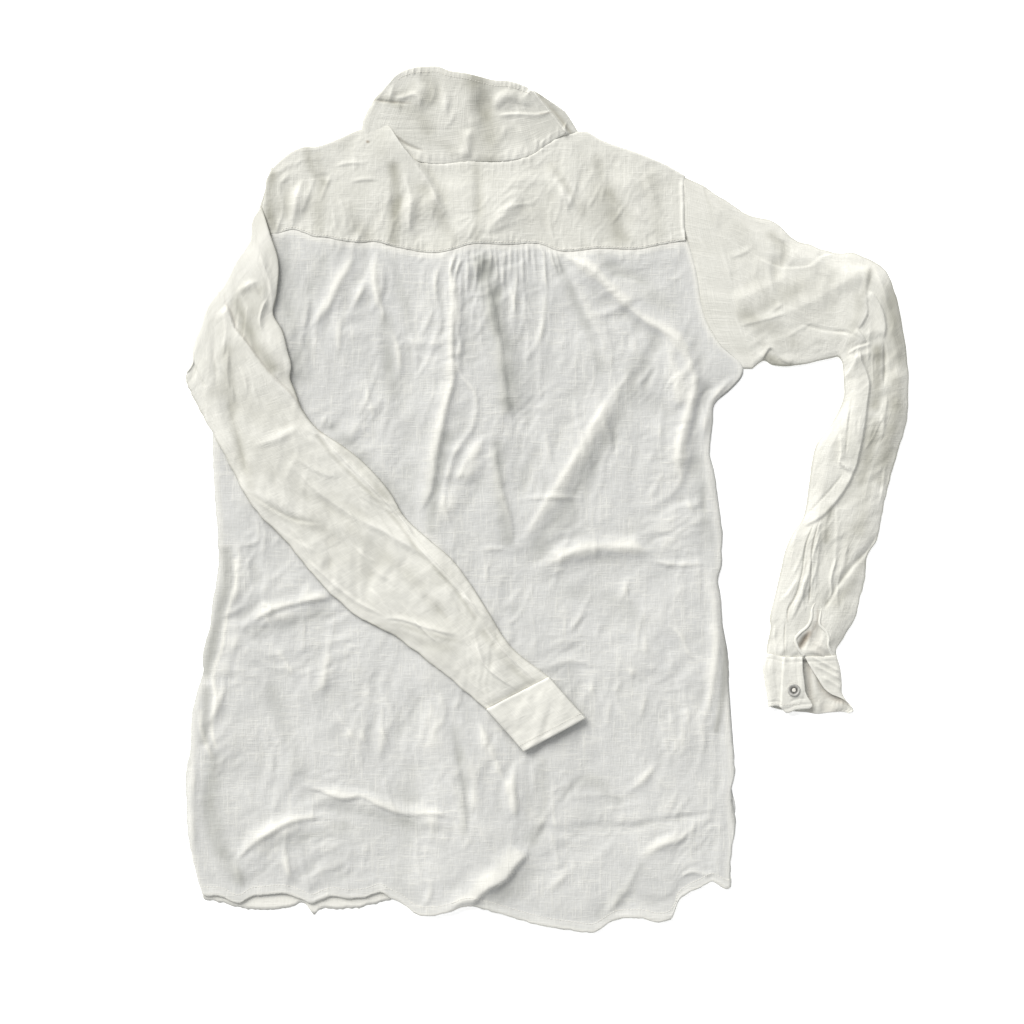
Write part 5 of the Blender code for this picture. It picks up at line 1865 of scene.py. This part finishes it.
# The left cuff's two ends: outer x and y, inner x and y, and thickness
LEFT_CUFF_TOP = (486.0, 708.6, 549.0, 676.0, 6.0)
LEFT_CUFF_HEM = (523.5, 751.2, 586.0, 717.6, 5.0)
LEFT_CUFF_WIDTH = 71.0
LEFT_CUFF_DEPTH = 54
LEFT_CUFF_TUCKS = ((-22.01, 1.2, 3), (-7.1, 1.5, 3.2), (4.26, 1.2, 3), (17.75, 1.3, 3.4))
RIGHT_CUFF_TUCKS = ((772, 1.0, 3), (784, 1.2, 2.6), (794, 1.1, 3), (802, 1.0, 2.5))
RIGHT_CUFF_DEPTH = 56
RIGHT_CUFF_HALF_WIDTH = 38.5


def make_left_cuff():
    """The left cuff, a closed band across the back."""
    count, columns = LEFT_CUFF_GRID
    rows = np.linspace(LEFT_CUFF_TOP, LEFT_CUFF_HEM, count)
    across = edge_spaced(columns)
    part = (1 + across) / 2
    bow_out = 0.8 * np.sin(np.linspace(0, math.pi, count))[:, None]
    x = blend(rows[:, 2][:, None], rows[:, 0][:, None], part) + bow_out * across
    y = blend(rows[:, 3][:, None], rows[:, 1][:, None], part) + bow_out * across * 0.5
    widths = np.full(count, LEFT_CUFF_WIDTH)
    side = round_edge(across[None, :], widths[:, None], 3.6)
    down = np.linspace(0, 1, count)[:, None]
    rest = over_body(x, y) + 1.5 * ease(down * 3)
    puff = rows[:, 4][:, None]
    relief = 0.35 * crumpled(x, y, 800, 120) + tucks(across * LEFT_CUFF_WIDTH / 2, down, LEFT_CUFF_TUCKS)
    edges = np.minimum(down, 1 - down) * LEFT_CUFF_DEPTH
    relief = relief - 0.6 * (1 - rolled(edges, 1.8)) + 0.25 * np.exp(-((edges - 2.4) / 1.2) ** 2)
    lower = np.dstack([x, y, rest + puff * (1 - side) / 2])
    upper = np.dstack([x, y, rest + puff * (1 + side) / 2 + relief * side])
    roof, ground = inside_tube(upper, lower, widths, DOUBLED_WALL)
    cloth_places = np.dstack([across * widths[:, None] / 2, down * LEFT_CUFF_DEPTH + 0 * x])
    # Doubled edges, and painted shade in hollows
    look = marked(cuff_warmth(edges), FIRM_HOLLOW_PAINTED_SHADE * high_and_low(upper[..., 2])[1])
    piece = thin_tube("left_cuff_band", upper, lower, roof, ground, cloth_places, look)
    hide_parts("cuff_left")
    return piece, upper


def cuff_side(turn, part, wall):
    """One side of the right cuff's band, a wall inside its outer one."""
    across = np.cos(turn)
    side = np.sign(np.sin(turn)) * rolled((1 - np.abs(across)) * RIGHT_CUFF_HALF_WIDTH, 4.0)
    left, right = along(CUFF_LEFT, part), along(CUFF_RIGHT, part)
    x = blend(left, right, (1 + across) / 2) - across * wall * 1.2
    hem = np.where(turn < math.pi, along(CUFF_HEM, x), along(CUFF_UNDER_HEM, x))
    y = blend(along(CUFF_SEAM, x), hem, part)
    thickness = blend(blend(6.2, 8.0, ease(part * 3.5)), 5.4, ease(across + 0.2))
    half = np.maximum(thickness / 2 - wall, 0.4)
    return x, y, thickness / 2 + half * side, side


def make_right_cuff():
    """The right cuff, open: the end with the button lies on top, and the other end turns up beside it."""
    rows, columns = RIGHT_CUFF_GRID
    part = np.linspace(0, 1, rows)[:, None]
    end = 2 * math.pi + np.arccos(np.clip(along(CUFF_END, part), 0, 1))
    turn = blend(math.radians(88), end, np.linspace(0, 1, columns))
    x, y, height, side = cuff_side(turn, part, 0)
    inner = cuff_side(turn, part, DOUBLED_WALL)
    edges = np.minimum(part, 1 - part) * RIGHT_CUFF_DEPTH
    relief = creased(x, y, CUFF_CREASES) + 0.3 * crumpled(x, y, 850, 95) + tucks(x, part, RIGHT_CUFF_TUCKS)
    relief = relief - 0.5 * (1 - rolled(edges, 1.8)) - 0.45 * np.exp(-((edges - 5.2) / 0.8) ** 2)
    height = height + relief * np.maximum(side, 0)
    inner_height = below_top(inner[2], side, height)
    lift = creased(x, y, CUFF_LIFTS) * ease((x - 806) / 6) * (side <= 0) * ease((2 * math.pi - turn) * 5)
    lip = ease((part - 0.72) / 0.1) * ease((x - 826) / 10)
    turned_up = lift + lip * 1.6 * (0.6 + 0.4 * np.sin(x * 1.5))
    height += turned_up
    inner_height += turned_up
    outer_grid = np.dstack([x, y, height])
    inner_grid = np.dstack([inner[0], inner[1], inner_height])
    cloth_places = np.dstack([turn * CUFF_CLOTH_ROUND, part * RIGHT_CUFF_DEPTH + 0 * x])
    under = turn > math.pi
    warm = cuff_warmth(edges) + 0.5 * (end - turn < 0.06)
    # Painted shade in hollows and on the band's under side
    grey = FIRM_HOLLOW_PAINTED_SHADE * high_and_low(height)[1] + 0.12 * under
    # Brown: painted shadow in the turned-up end
    look = marked(warm, grey, shaded(x, y, CUFF_SHADOWS) * under * (turn < 2 * math.pi))
    piece = thin_shell(
        "right_cuff_band", outer_grid, DOUBLED_WALL, cloth_places, look, DOUBLED,
        inner=inner_grid, step=3,
    )
    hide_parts("cuff_right")
    return piece, outer_grid


def height_on(grid, x, y):
    """The height of a piece's upper side nearest to one place."""
    distance = (grid[..., 0] - x) ** 2 + (grid[..., 1] - y) ** 2
    return float(grid[..., 2][distance < distance.min() + 2.0].max())


def make_binding(name, points, width, surface, lift):
    """A narrow bound edge that lies on a piece."""
    line, length = smooth_line(points, 1.5)
    heights = [height_on(surface, *place) for place in line]
    heights = np.convolve(np.pad(heights, 3, mode="edge"), np.ones(7) / 7, mode="valid")
    way = np.gradient(line, axis=0)
    way /= np.hypot(way[:, 0], way[:, 1])[:, None]
    across = np.linspace(-1, 1, 11)
    narrow = (0.35 + 0.65 * ease(np.linspace(0, length, len(line)) / 12))[:, None]
    x = line[:, :1] - way[:, 1:] * across * width * narrow / 2
    y = line[:, 1:] + way[:, :1] * across * width * narrow / 2
    height = heights[:, None] + lift * narrow + 0.55 * narrow * rolled((1 - np.abs(across)) * width / 2, 1.6)
    height = height + 0.12 * noise(x, y, 5, 33)
    places = np.dstack([across * width / 2 + 0 * x, np.linspace(0, length, len(line))[:, None] + 0 * x])
    look = marked(0.7 + 0 * x)
    return thin_shell(name, np.dstack([x, y, height]), 0.8, places, look, DOUBLED, step=2)


def make_vent(sleeve):
    """The two bound edges of the slit above the right cuff."""
    first = make_binding("vent_binding", VENT_EDGE, 2.6, sleeve, 0.4)
    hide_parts("vent_right")
    second = make_binding("vent_under_binding", VENT_UNDER_EDGE, 2.3, sleeve, 0.3)
    return first, second


# The rings of a stitch: shares of its length and of its size
STITCH_RINGS = ((0.14, 0.75), (0.5, 1.0), (0.86, 0.75))


def stitch_points(start, end, width, tall):
    """The points and faces of one stitch, a short rounded bar."""
    start, end = np.array(start, float), np.array(end, float)
    way = end - start
    length = np.linalg.norm(way)
    way /= length
    flat = np.array((-way[1], way[0], 0))
    flat /= np.linalg.norm(flat)
    up = np.cross(flat, way)
    up = up if up[2] > 0 else -up
    points = [start]
    sides = 6
    for part, size in STITCH_RINGS:
        for number in range(sides):
            angle = 2 * math.pi * number / sides
            off = flat * math.cos(angle) * width / 2 + up * math.sin(angle) * tall / 2
            points.append(start + way * length * part + off * size)
    points.append(end)
    faces = []
    last = len(points) - 1
    for number in range(sides):
        beside = (number + 1) % sides
        faces.append((0, 1 + beside, 1 + number))
        for ring in (0, 1):
            low, high = 1 + ring * sides, 1 + (ring + 1) * sides
            faces.append((low + number, low + beside, high + beside, high + number))
        faces.append((last, 1 + 2 * sides + number, 1 + 2 * sides + beside))
    return points, faces


def thread_piece(name, stitches):
    """Stitches, each with its points and faces, as one piece of sewing thread."""
    points, faces = [], []
    for new_points, new_faces in stitches:
        faces += [np.array(face) + len(points) for face in new_faces]
        points += new_points
    points = np.array(points)
    return new_piece(name, points, faces, points[:, :2], np.zeros((len(points), 3)), THREAD)


STITCH_HEIGHT = 0.34
STITCH_LIFT = 0.12


def make_stitches(name, run, surface, pitch=3.0, length=2.3, width=0.55):
    """A row of topstitching on a piece, as one mesh."""
    line, total = smooth_line(run, 0.5)
    count = int(total / pitch)
    last = len(line) - 1
    stitches = []
    for number in range(count):
        at = (number + 0.5) / count
        ends = []
        for offset in (-length / 2, length / 2):
            row = min(max((at + offset / total) * last, 0), last)
            place = blend(line[int(row)], line[min(int(row) + 1, last)], row - int(row))
            ends.append((*place, height_on(surface, *place) + STITCH_LIFT))
        stitches.append(stitch_points(*ends, width, STITCH_HEIGHT))
    return thread_piece(name, stitches)


def edge_run(table, start, end, inset, count):
    """Places along a table's line, moved in from it."""
    xs = np.linspace(start, end, count)
    return [(x, float(along(table, x)) - inset) for x in xs]


# A button's profile: shares of its radius and of its height, from the middle of its foot round to its face
BUTTON_DISH = 0.72
BUTTON_PROFILE = (
    (0, 0), (0.8, 0), (0.93, 0.1), (0.985, 0.28), (1.0, 0.5), (0.985, 0.76), (0.94, 0.93), (0.87, 1.0),
    (0.79, 0.985), (0.73, 0.9), (0.69, 0.8), (0.6, 0.74), (0.3, BUTTON_DISH), (0, BUTTON_DISH),
)
BUTTON_SIDES = 44
BUTTON_SHARP_ANGLE = math.radians(38)
BUTTON_HOLES = 4
HOLE_RADIUS = 0.85 * MM
HOLE_PLACE = 2.0 * MM
PIN_SIDES = 14
PIN_LENGTH = 12 * MM

# The thread in a button's holes: where its corners are, its strands' size, and how they lie and reach
THREAD_CORNER = 1.95
STRAND_WIDTH = 0.62
STRAND_HEIGHT = 0.5
STRAND_SHIFT = 0.22
STRAND_RISE = 0.04
STRAND_LIFT = 0.25
STRAND_REACH = 1.02


def turned_button(name, radius, tall):
    """A round button with a raised rim and a dished middle, without its holes."""
    shape = bmesh.new()
    rings = []
    for across, height in BUTTON_PROFILE:
        ring = []
        for number in range(BUTTON_SIDES if across else 1):
            angle = 2 * math.pi * number / BUTTON_SIDES
            ring.append(shape.verts.new((
                across * radius * math.cos(angle), across * radius * math.sin(angle), height * tall,
            )))
        rings.append(ring)
    for first, second in zip(rings, rings[1:]):
        for number in range(BUTTON_SIDES):
            beside = (number + 1) % BUTTON_SIDES
            corners = [first[number % len(first)], first[beside % len(first)]]
            corners += [second[beside % len(second)], second[number % len(second)]]
            shape.faces.new(list(dict.fromkeys(corners)))
    bmesh.ops.recalc_face_normals(shape, faces=shape.faces)
    return placed_shape(name, shape)


def pierced_mesh(body):
    """A button's mesh with its four holes."""
    cutter = hole_cutter()
    cut = body.modifiers.new("holes", "BOOLEAN")
    cut.operation = "DIFFERENCE"
    cut.solver = "EXACT"
    cut.object = cutter
    bpy.context.view_layer.update()
    pierced = bpy.data.meshes.new_from_object(body.evaluated_get(bpy.context.evaluated_depsgraph_get()))
    body.modifiers.clear()
    bpy.data.objects.remove(cutter)
    return pierced


def make_button(name, node):
    """A button in its solid's place. It gives back the middle, the underside's height and how tall it is."""
    low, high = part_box(node)
    centre = (low + high) / 2
    tall = high.z - low.z
    body = turned_button(name, (high.x - low.x) / 2, tall)
    pierced = pierced_mesh(body)
    body.data = pierced
    pierced.materials.clear()
    pierced.materials.append(SHELL)
    pierced.shade_smooth()
    pierced.set_sharp_from_angle(angle=BUTTON_SHARP_ANGLE)
    body.location = (centre.x, centre.y, low.z)
    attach(body, "root")
    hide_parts(node)
    return centre, low.z, tall


def hole_cutter():
    """Four upright pins in the places of a button's holes."""
    shape = bmesh.new()
    for number in range(BUTTON_HOLES):
        angle = 2 * math.pi * number / BUTTON_HOLES
        made = bmesh.ops.create_cone(
            shape, cap_ends=True, segments=PIN_SIDES, depth=PIN_LENGTH,
            radius1=HOLE_RADIUS, radius2=HOLE_RADIUS,
        )
        offset = (math.cos(angle) * HOLE_PLACE, math.sin(angle) * HOLE_PLACE, 0)
        bmesh.ops.translate(shape, verts=made["verts"], vec=offset)
    return placed_shape("hole_cutter", shape)


def make_button_thread(name, centre, bottom, tall):
    """The thread through a button's four holes: round its square and across it."""
    corners = []
    for number in range(BUTTON_HOLES):
        angle = 2 * math.pi * number / BUTTON_HOLES
        corners.append(np.array((math.cos(angle), -math.sin(angle), 0.0)) * THREAD_CORNER)
    middle = np.array((
        LAYOUT_LEFT + (centre.x - CAD_LOW[0]) / MM, LAYOUT_TOP + (CAD_HIGH[1] - centre.y) / MM,
        bottom / MM + tall / MM * BUTTON_DISH + STRAND_LIFT,
    ))
    strands = list(zip(corners, corners[1:] + corners[:1])) + list(zip(corners[:2], corners[2:]))
    stitches = []
    for level, (start, end) in enumerate(strands):
        for shift in (-STRAND_SHIFT, STRAND_SHIFT):
            way = (end - start) / np.linalg.norm(end - start)
            off = np.array((-way[1], way[0], 0)) * shift
            lift = np.array((0, 0, STRAND_RISE * level))
            ends = [middle + corner * STRAND_REACH + off + lift for corner in (start, end)]
            stitches.append(stitch_points(*ends, STRAND_WIDTH, STRAND_HEIGHT))
    thread_piece(name, stitches)


def make_buttons():
    """The seven front buttons, which face the surface, and the two on the cuffs."""
    nodes = [f"button_front_{number + 1}" for number in range(7)] + ["button_cuff_right", "button_cuff_left"]
    for node in nodes:
        make_button_thread(node + "_thread", *make_button(node + "_shell", node))


# The shirt

back, back_grid = make_back()
yoke, yoke_grid = make_yoke()
right_front, left_front = make_fronts()
collar, collar_outer = make_collar()
left_sleeve = make_left_sleeve()
right_sleeve, right_sleeve_grid = make_right_sleeve()
left_cuff, left_cuff_grid = make_left_cuff()
right_cuff, right_cuff_grid = make_right_cuff()
vent, under_vent = make_vent(right_sleeve_grid)
make_buttons()

LEFT_CUFF_RUN = ((518.4, 745.3), (549, 729), (580.6, 712.4))
RIGHT_CUFF_RUN = ((770, 702.5), (786, 704), (799, 703.5))
COLLAR_TOP = slice(120, 310)
RIGHT_CUFF_TOP = slice(0, 110)
hem_stitches = make_stitches("hem_stitches", edge_run(BACK_HEM, 204, 732, 9, 110), back_grid)
yoke_stitches = make_stitches("yoke_stitches", edge_run(YOKE_SEAM, 282, 682, 2.6, 90), yoke_grid)
collar_stitches = make_stitches(
    "collar_stitches", edge_run(LEAF_EDGE, 398, 532, -5.5, 50), collar_outer[:, COLLAR_TOP],
    pitch=2.8, length=2.0, width=0.45,
)
left_cuff_stitches = make_stitches(
    "left_cuff_stitches", LEFT_CUFF_RUN, left_cuff_grid, pitch=2.8, length=2.1,
)
right_cuff_stitches = make_stitches(
    "right_cuff_stitches", RIGHT_CUFF_RUN, right_cuff_grid[:, RIGHT_CUFF_TOP], pitch=2.8, length=2.1,
)


# Floor, light and camera

FLOOR_REACH = 3
FLOOR_LEVEL = -0.0002
LAYOUT_MIDDLE = (512.0, 512.0, 0.0)
FRAME_WIDTH = 1.024
CAMERA_DISTANCE = 3.0
SENSOR_WIDTH = 36


def make_floor():
    """The plain pale surface that the shirt lies on."""
    mesh = bpy.data.meshes.new("floor")
    corners = [(x * FLOOR_REACH, y * FLOOR_REACH, 0) for x, y in ((-1, -1), (1, -1), (1, 1), (-1, 1))]
    mesh.from_pydata(corners, [], [(0, 1, 2, 3)])
    mesh.materials.append(pale_floor("floor_pale"))
    floor = placed("floor", mesh)
    floor.location.z = FLOOR_LEVEL


def make_light():
    """Soft light from the upper left, and an even sky."""
    sky = bpy.data.worlds.new("studio")
    sky.use_nodes = True
    set_inputs(sky.node_tree.nodes["Background"], Color=(0.97, 0.985, 1.0, 1), Strength=0.46)
    bpy.context.scene.world = sky
    light = bpy.data.lights.new("window", "SUN")
    light.energy = 3.75
    light.angle = math.radians(46)
    light.color = (1.0, 0.985, 0.95)
    lamp = placed("window", light)
    lamp.rotation_euler = (math.radians(-42), math.radians(-40), 0)


def make_camera():
    """A camera that looks straight down on the layout's middle."""
    camera = bpy.data.cameras.new("camera")
    camera.sensor_width = SENSOR_WIDTH
    camera.lens = SENSOR_WIDTH * CAMERA_DISTANCE / FRAME_WIDTH
    looker = placed("camera", camera)
    middle = world(np.array(LAYOUT_MIDDLE))
    looker.location = (middle[0], middle[1], CAMERA_DISTANCE)
    bpy.context.scene.camera = looker


make_floor()
make_light()
make_camera()
bpy.context.scene.view_settings.view_transform = "Standard"
